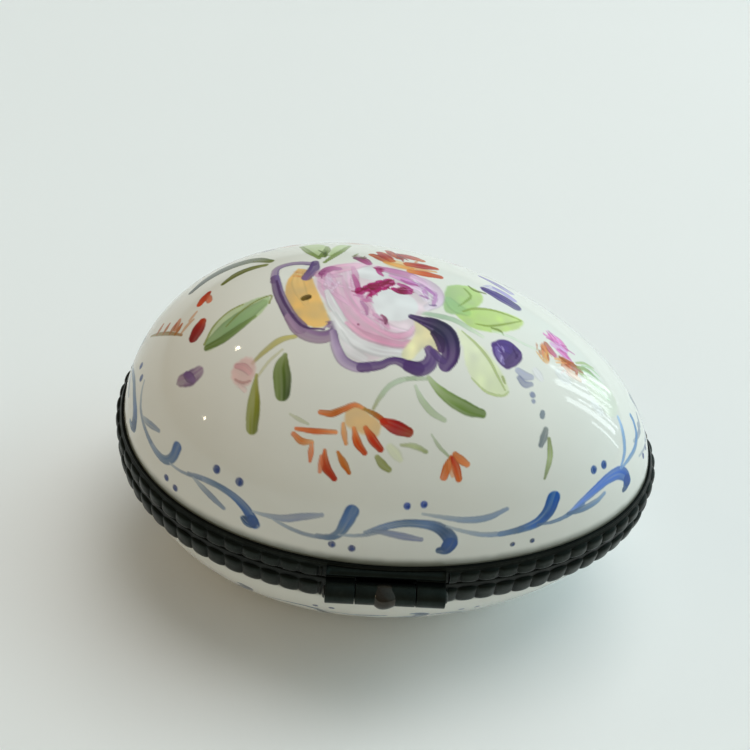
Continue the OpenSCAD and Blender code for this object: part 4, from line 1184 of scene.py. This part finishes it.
def build_bezel(name, side, reach, height):
    """Bezel: wall behind the gadroons, plain lip that hugs the porcelain and flat web."""
    profile = rounded([(0.02, 0.42), (0.02, height - 0.1), (0.08, height), (0.24, height - 0.01),
                       (0.34, height - 0.1), (0.33, height - 0.22), (0.40, height - 0.32),
                       (0.45, height - 0.5), (0.5, height - 0.62), (0.5, 0.22), (0.42, 0.06),
                       (-reach, 0.06), (-reach, 0.4)], 0.07)
    s = np.linspace(0, RIM.length, BEZEL_STEPS, endpoint=False)
    across, up = profile[None, :, 0], profile[None, :, 1]
    dent = (NOISE(s[:, None] * 0.35 + 9, up * 1.2 + 4) - 0.5) * 0.05
    points = ring_points(s, across + dent * (across > 0.2), up, side)
    verts, faces = loft(points, closed=True)
    if side < 0:
        faces = flipped(faces)
    piece = new_piece(name, verts, faces, BODY[side], BEZEL_METAL)
    # Lighter worn tone along the crest near the top: rubbed metal, and also a painted highlight line.
    crest = np.abs(up - (height - 0.34)) < 0.08
    wear_and_painted_light = np.where(crest, 0.55, 0.15) * (0.5 + NOISE(s[:, None] * 0.5, up * 2.0))
    set_colour(piece, "wear_and_painted_light", np.clip(wear_and_painted_light, 0, 1).ravel())


def build_gadroon_trim(name, side, span, gaps):
    """Row of upright gadroons, open at the hinge and where the clasp sits."""
    pitch = RIM.length / GADROON_N
    low, high = span
    half, middle = (high - low) / 2, (high + low) / 2
    v = np.linspace(-1, 1, 17)
    all_s = np.arange(GADROON_N * POINTS_PER_GADROON) * pitch / POINTS_PER_GADROON
    keep = np.ones(len(all_s), bool)
    for centre, width in gaps:
        keep &= np.abs(all_s - centre) > width
    kept = np.nonzero(keep)[0]
    runs = np.split(kept, np.nonzero(np.diff(kept) > 1)[0] + 1)
    runs = [np.r_[runs[-1], runs[0]]] + runs[1:-1]
    parts, all_wear = [], []
    for run in runs:
        s = all_s[run]
        u = 2 * np.mod(s / pitch, 1) - 1
        number = np.floor(s / pitch)
        uneven = NOISE(number * 1.7 + 3, number * 0 + side * 2.5 + 5) - 0.5
        round_u = np.sqrt(np.maximum(1 - np.abs(u)[:, None] ** 2.2, 0))
        round_v = np.sqrt(np.maximum(1 - v[None, :] ** 4, 0))
        fill = round_u * round_v * (1 + 0.16 * uneven)[:, None]
        off = WALL_OUT - 0.04 + 0.05 * round_v + (GADROON_OUT - 0.02) * fill
        z = middle + half * v[None, :] * (0.8 + 0.2 * round_u)
        back = np.full((len(s), 1), WALL_OUT - 0.15)
        off = np.hstack([back, off, back])
        z = np.hstack([np.full_like(back, low), z, np.full_like(back, high)])
        points = ring_points(s, off, z, side)
        verts, faces = loft(points)
        if side > 0:
            faces = flipped(faces)
        wear_and_painted_light = np.hstack([np.zeros_like(back), np.clip(fill, 0, 1) ** 3, np.zeros_like(back)])
        parts.append((verts, faces))
        all_wear.append(wear_and_painted_light.ravel())
    verts, faces = join_parts(parts)
    piece = new_piece(name, verts, faces, BODY[side], TRIM_METAL)
    wear_and_painted_light = np.concatenate(all_wear)
    spots = NOISE(*(verts.T * 0.8 + 40))
    set_colour(piece, "wear_and_painted_light", np.clip(wear_and_painted_light * (0.25 + 0.9 * spots), 0, 1))


def build_plain_ring(name, side, body, material, profile):
    """Ring with a fixed profile of (offset, height) round the rim."""
    profile = rounded(profile, 0.05)
    s = np.linspace(0, RIM.length, RING_STEPS, endpoint=False)
    points = ring_points(s, profile[None, :, 0], profile[None, :, 1], side)
    verts, faces = loft(points, closed=True)
    if side < 0:
        faces = flipped(faces)
    piece = new_piece(name, verts, faces, body, material)
    set_colour(piece, "wear_and_painted_light", np.full(len(verts), 0.2))


# ---------------------------------------------------------------- hinge and clasp
def wear_by_noise(piece, low, high):
    """Stores wear between low and high, in spots of less than a millimetre."""
    spots_per_mm, away_from_origin = 1.3, 60
    co = np.zeros(len(piece.data.vertices) * 3, np.float32)
    piece.data.vertices.foreach_get("co", co)
    p = co.reshape(-1, 3).T / MM * spots_per_mm + away_from_origin
    set_colour(piece, "wear_and_painted_light", low + (high - low) * NOISE(*p))


def small_piece(name, verts, faces, body, wear_and_painted_light=(0.05, 0.5), material=None, slot="hinge_metal"):
    """A piece of the hinge or clasp with uneven wear."""
    piece = new_piece(name, verts, faces, body, material or HINGE_METAL)
    wear_by_noise(piece, *wear_and_painted_light)


def bar_along_hinge(outline, x0, x1):
    """Solid with a (towards box, up) outline, from x0 to x1 along the pin, with eased ends."""
    bevel = 0.08
    outline = np.asarray(outline, float)
    middle = outline.mean(0)
    loops = []
    for quarter in np.linspace(0, math.pi / 2, 4):
        loops.append((x0 + bevel * (1 - math.cos(quarter)), bevel * (1 - math.sin(quarter))))
    loops += [(x0 + (x1 - x0) * f, 0.0) for f in (0.25, 0.5, 0.75)]
    loops += [(x1 - (x - x0), shrink) for x, shrink in loops[3::-1]]
    rings = []
    for x, shrink in loops:
        away = outline - middle
        size = np.linalg.norm(away, axis=1)[:, None]
        ring = middle + away * np.maximum(1 - shrink / np.maximum(size, 1e-6), 0.2)
        rings.append(np.c_[np.full(len(ring), x), ring])
    verts, faces = loft(np.array(rings))
    return in_hinge(verts), faces


def knuckle_outline(side):
    """Rolled knuckle with a tab that leaves it at the top, towards the box."""
    turn = np.radians(np.linspace(28, -270, 56))
    round_part = np.c_[KNUCKLE_R * np.cos(turn), KNUCKLE_R * np.sin(turn)]
    tab = [(LEAF_Y + 0.1, KNUCKLE_R), (LEAF_Y + 0.1, KNUCKLE_R - TAB_T)]
    outline = np.vstack([round_part, tab])
    outline[:, 1] *= side
    return outline[::-1] if side > 0 else outline


def build_hinge():
    """Knuckles, and the two leaves with a foot behind each of their own knuckles."""
    half, overlap = HINGE_L / 2, 0.02
    left, right, centre = (-half, -half + END_L), (half - END_L, half), (-MIDDLE_L / 2, MIDDLE_L / 2)
    for name, span, side, body in (("lid_knuckle_left", left, 1, "lid"),
                                   ("lid_knuckle_right", right, 1, "lid"),
                                   ("base_knuckle", centre, -1, "base")):
        small_piece(name, *bar_along_hinge(knuckle_outline(side), *span), body, wear_and_painted_light=(0.05, 0.6))
    for name, side, body, low, feet in (("lid_hinge_leaf", 1, "lid", LID_LEAF_LOW, (left, right)),
                                        ("base_hinge_leaf", -1, "base", BASE_LEAF_LOW, (centre,))):
        parts = [leaf_part(-half, half, low, LEAF_TOP, side)]
        parts += [leaf_part(*foot, LEAF_FOOT, low + overlap, side) for foot in feet]
        # less wear than the knuckles keeps the leaves darker: painted shade where they sit in shadow
        small_piece(name, *join_parts(parts), body, wear_and_painted_light=(0.0, 0.35))
    build_bead()
    build_pin()


def leaf_part(x0, x1, low, high, side):
    """Strip between the leaves' front plane and the bezel wall, with eased front edges."""
    rings = []
    for x in np.linspace(x0 + 0.03, x1 - 0.03, 24):
        px, py, nx, ny = (float(v) for v in RIM.at(HINGE_S + x))
        wall = np.array([px, py]) + (WALL_OUT - 0.12) * np.array([nx, ny])
        back = float((wall - HINGE_PLACE[:2]) @ HINGE_INWARD[:2])
        slope = min(0.5, (high - low) * 0.6)
        outline = rounded([(LEAF_Y, side * low), (LEAF_Y, side * (high - slope)),
                           (LEAF_Y + 0.25, side * (high - 0.1)), (back, side * high), (back, side * low)],
                          0.09)
        rings.append(np.c_[np.full(len(outline), x), outline])
    verts, faces = loft(np.array(rings))
    if side > 0:
        faces = flipped(faces)
    return in_hinge(verts), faces


def build_bead():
    """Rounded bead on the front of the middle knuckle, with a steeper right flank."""
    half_w, out, under, inner = 1.25, 0.42, 0.12, KNUCKLE_R - 0.3
    u = np.linspace(-1, 1, 41)
    skew = u + 0.18 * (1 - u * u)
    bump = np.clip(1 - np.abs(skew) ** 2.0, 0, 1) ** 0.8
    turn = np.radians(np.linspace(70, 310, 90))
    lobe = smoothstep((turn - math.radians(100)) / math.radians(62))  # clear of the lid's bezel when open
    lobe = lobe * smoothstep((turn[-1] - turn) / 0.6)
    rings = []
    for k, rise in zip(u, bump):
        r = KNUCKLE_R - under + (out + under) * rise * (0.35 + 0.65 * lobe)
        outside = np.c_[r * np.cos(turn), r * np.sin(turn)]
        back = np.c_[inner * np.cos(turn[::-1]), inner * np.sin(turn[::-1])]
        rings.append(np.c_[np.full(len(turn) * 2, k * half_w), np.vstack([outside, back])])
    verts, faces = loft(np.array(rings))
    small_piece("hinge_bead", in_hinge(verts), faces, "base", (0.3, 1.0), BEAD_METAL)


ROUND_STEPS = 40


def round_section(radius):
    """Points of a circle, as two columns."""
    turn = np.linspace(0, 2 * math.pi, ROUND_STEPS, endpoint=False)
    return np.c_[radius * np.cos(turn), radius * np.sin(turn)]


def build_pin():
    """Hinge pin with a small domed head at each end."""
    wire, head = 0.45, 0.72
    end = HINGE_L / 2 + 0.05
    dome = [(0, wire), (0.01, head), (0.08, head), (0.2, 0.62), (0.27, 0.4), (0.29, 0.12)]
    outline = [(-end - x, r) for x, r in dome[::-1]] + [(end + x, r) for x, r in dome]
    rings = [np.c_[np.full(ROUND_STEPS, x), round_section(r)] for x, r in outline]
    verts, faces = loft(np.array(rings))
    small_piece("hinge_pin", in_hinge(verts), faces, "base", (0.3, 1.0), PIN_METAL, "pin_metal")


def slab_across(outline, y0, y1, bevel=0.1):
    """Plate with an (x, z) outline between two y planes, with eased edges."""
    middle = outline.mean(0)
    ease = bevel * 0.3
    rings = []
    for y, shrink in ((y0, bevel), (y0 + ease, ease), (y0 + bevel, 0),
                      (y1 - bevel, 0), (y1 - ease, ease), (y1, bevel)):
        away = outline - middle
        size = np.linalg.norm(away, axis=1)[:, None]
        ring = middle + away * (1 - shrink / size)
        rings.append(np.c_[ring[:, 0], np.full(len(ring), y), ring[:, 1]])
    return loft(np.array(rings))


def build_clasp():
    """Clasp on the far side: block, springy tongue with a rolled end, and the stud below it."""
    middle, half, waist, wall = -EGG_SHIFT, CLASP_W / 2, CLASP_W / 2 - 0.5, EGG_W / 2 + WALL_OUT
    block = rounded([(middle + x, z) for x, z in ((-half, 0.62), (half, 0.62), (half, CLASP_TOP),
                                                  (-half, CLASP_TOP))], 0.15)
    small_piece("clasp_plate", *slab_across(block, wall - 0.3, TONGUE_Y), "lid")
    flank = [(half, CLASP_TOP), (half, 0.8), (waist, 0.0), (waist, -2.6), (half, -3.6), (half, -TONGUE_LOW)]
    tongue = [(middle - x, z) for x, z in flank] + [(middle + x, z) for x, z in flank[::-1]]
    slab = slab_across(rounded(tongue, 0.5, 5), TONGUE_Y, TONGUE_Y + TONGUE_T, 0.12)
    place, rings = [TONGUE_Y + ROLL_R, -TONGUE_LOW], []
    for k in np.linspace(-1, 1, 33):
        at_end = abs(k) > 0.99
        radius = ROLL_R - (0.25 if at_end else 0.1 - 0.1 * abs(math.cos(k * math.pi * 2.5)))
        rings.append(np.c_[np.full(ROUND_STEPS, middle + k * half), round_section(radius) + place])
    small_piece("clasp_tongue", *join_parts([slab, loft(np.array(rings))]), "lid", (0.1, 0.7))
    root, tip, stud_low = wall - 0.05, TONGUE_Y - 0.1, 1.9
    rings = []
    for y, radius in ((root, 0.9), (root + 0.2, 0.88), (tip - 0.15, 0.8), (tip - 0.05, 0.65), (tip, 0.4)):
        x, z = round_section(radius).T
        rings.append(np.c_[middle + x, np.full(ROUND_STEPS, y), z - stud_low])
    small_piece("catch_stud", *loft(np.array(rings)), "base", (0.2, 0.8))


# ---------------------------------------------------------------- stage
LIGHT_AIM = Vector((0, 0, 0.03))
STRIP_POWER = 13.0  # watts for a square metre of window strip
STRIP_COLOUR, LAMP_COLOUR = (0.88, 0.97, 1.0), (1.0, 0.85, 0.6)
# azimuth, elevation, width and height of the strips in which the glaze mirrors a window
WINDOW_STRIPS = ((44, 9, 0.026, 0.20), (39, 17, 0.034, 0.27), (34, 14, 0.016, 0.20),
                 (29.5, 20, 0.036, 0.26), (24.5, 13, 0.014, 0.24), (20.5, 17, 0.034, 0.28),
                 (15, 9, 0.014, 0.20))
FLOOR_REACH = 3.0
WORLD_LOW, WORLD_HIGH, WORLD_WINDOW = (0.20, 0.162, 0.10), (0.28, 0.275, 0.25), (0.54, 0.78, 0.86)
WINDOW_WAY = (0.84, 0.5, 0.2)


def light_from(name, azimuth, elevation, size, power, colour, distance=0.6):
    """Area light seen from the box at an azimuth, turned from +X towards +Y, and an elevation."""
    azimuth, elevation = math.radians(azimuth), math.radians(elevation)
    flat = math.cos(elevation)
    way = Vector((math.cos(azimuth) * flat, math.sin(azimuth) * flat, math.sin(elevation)))
    light = bpy.data.lights.new(name, "AREA")
    light.shape = "RECTANGLE"
    light.size, light.size_y = size
    light.energy = power
    light.color = colour
    lamp = bpy.data.objects.new(name, light)
    bpy.context.scene.collection.objects.link(lamp)
    lamp.location = LIGHT_AIM + way * distance
    lamp.rotation_euler = (-way).to_track_quat("-Z", "Y").to_euler()
    return lamp


def build_world():
    """Soft studio surroundings: pale overhead, dim and warm round the horizon, cool towards the window."""
    world = bpy.context.scene.world or bpy.data.worlds.new("world")
    bpy.context.scene.world = world
    world.use_nodes = True
    nodes, links = world.node_tree.nodes, world.node_tree.links
    place = add(nodes, "ShaderNodeTexCoord")
    parts = add(nodes, "ShaderNodeSeparateXYZ")
    links.new(place.outputs["Generated"], parts.inputs[0])
    overhead = map_range(nodes, links, parts.outputs["Z"], 0.05, 0.9, 0.0, 1.0)
    towards = add(nodes, "ShaderNodeVectorMath", operation="DOT_PRODUCT")
    links.new(place.outputs["Generated"], towards.inputs[0])
    towards.inputs[1].default_value = WINDOW_WAY
    window = map_range(nodes, links, towards.outputs["Value"], 0.1, 0.95, 0.0, 1.0)
    tone = mix_colour(nodes, links, overhead, WORLD_LOW, WORLD_HIGH)
    tone = mix_colour(nodes, links, window, tone, WORLD_WINDOW)
    links.new(tone, nodes["Background"].inputs["Color"])
    nodes["Background"].inputs["Strength"].default_value = 1.0


def build_stage():
    """Plain pale floor, soft studio light and the small lights that the glaze mirrors."""
    floor = bpy.data.meshes.new("floor")
    corners = [(x * FLOOR_REACH, y * FLOOR_REACH, 0) for x, y in ((-1, -1), (1, -1), (1, 1), (-1, 1))]
    floor.from_pydata(corners, [], [(0, 1, 2, 3)])
    floor_piece = bpy.data.objects.new("floor", floor)
    bpy.context.scene.collection.objects.link(floor_piece)
    floor.materials.append(plain_material("pale floor", (0.88, 0.88, 0.87), 0.9, 8.0, 0.01))
    for azimuth, elevation, wide, tall in WINDOW_STRIPS:
        power = STRIP_POWER * wide * tall
        light_from("window strip", azimuth, elevation, (wide, tall), power, STRIP_COLOUR)
    light_from("small lamp", 174, 43, (0.02, 0.02), 0.05, LAMP_COLOUR)
    light_from("second lamp", 206, 15, (0.015, 0.015), 0.03, LAMP_COLOUR)
    for soft in (light_from("ceiling", 60, 72, (0.6, 0.6), 3.1, (1.0, 0.985, 0.95), 0.8),
                 light_from("window glow", 20, 40, (0.5, 0.5), 0.9, (0.66, 0.93, 1.0), 0.8),
                 light_from("lamp glow", 205, 30, (0.5, 0.5), 0.30, (1.0, 0.66, 0.26), 0.8)):
        soft.visible_glossy = False
    build_world()
    bpy.context.scene.view_settings.view_transform = "Standard"


def build_camera():
    """Camera at the photograph's viewing angle, given as a turn round the box."""
    azimuth, elevation, roll = (math.radians(v) for v in (4.2, 44.4, 6.0))
    distance, slide, rise, aim_z = 165.0, -2.0, 6.7, PARTING_H + 0.35
    aim = Vector((0, 0, aim_z))
    flat = math.cos(elevation)
    back = Vector((math.sin(azimuth) * flat, -math.cos(azimuth) * flat, math.sin(elevation)))
    right = (-back).cross(Vector((0, 0, 1))).normalized()
    up = right.cross(-back)
    place = aim + back * distance + right * slide + up * rise
    tilted_right = right * math.cos(roll) + up * math.sin(roll)
    tilted_up = up * math.cos(roll) - right * math.sin(roll)
    data = bpy.data.cameras.new("camera")
    data.lens = 64.8
    data.sensor_width = 36.0
    data.clip_start, data.clip_end = 0.01, 20.0
    camera = bpy.data.objects.new("camera", data)
    bpy.context.scene.collection.objects.link(camera)
    turn = Matrix((tilted_right, tilted_up, back)).transposed()
    camera.matrix_world = Matrix.Translation(place * MM) @ turn.to_4x4()
    bpy.context.scene.camera = camera


# ---------------------------------------------------------------- assembly
build_camera()
build_stage()
build_shell("lid_shell", 1, None, paint_lid, PORCELAIN)
build_shell("base_shell", -1, PARTING_H, paint_base, PORCELAIN)
build_bezel("lid_bezel", 1, WEB_IN, LID_BEZEL_H)
build_bezel("base_bezel", -1, LIP_OUT, BASE_BEZEL_H)
hinge_gap = (HINGE_S, HINGE_L / 2 + 0.35)
clasp_gap = (CLASP_S, CLASP_W / 2 + 0.4)
build_gadroon_trim("lid_gadroon_trim", 1, LID_GADROONS, [hinge_gap, clasp_gap])
build_gadroon_trim("base_gadroon_trim", -1, BASE_GADROONS, [hinge_gap, clasp_gap])
bond = [(-0.12, WEB_TOP), (-0.12, RIM_Z), (-WALL_T + 0.12, RIM_Z), (-WALL_T + 0.12, WEB_TOP)]
build_plain_ring("lid_bonding_ring", 1, "lid", BONDING, bond)
build_plain_ring("base_bonding_ring", -1, "base", BONDING, bond)
lip_low = -WEB_TOP - LIP_DROP
build_plain_ring("locating_lip", 1, "base", BEZEL_METAL,
                 [(-LIP_OUT, lip_low), (-LIP_OUT, LIP_H), (-LIP_OUT - LIP_T, LIP_H),
                  (-LIP_OUT - LIP_T, lip_low)])
build_hinge()
build_clasp()
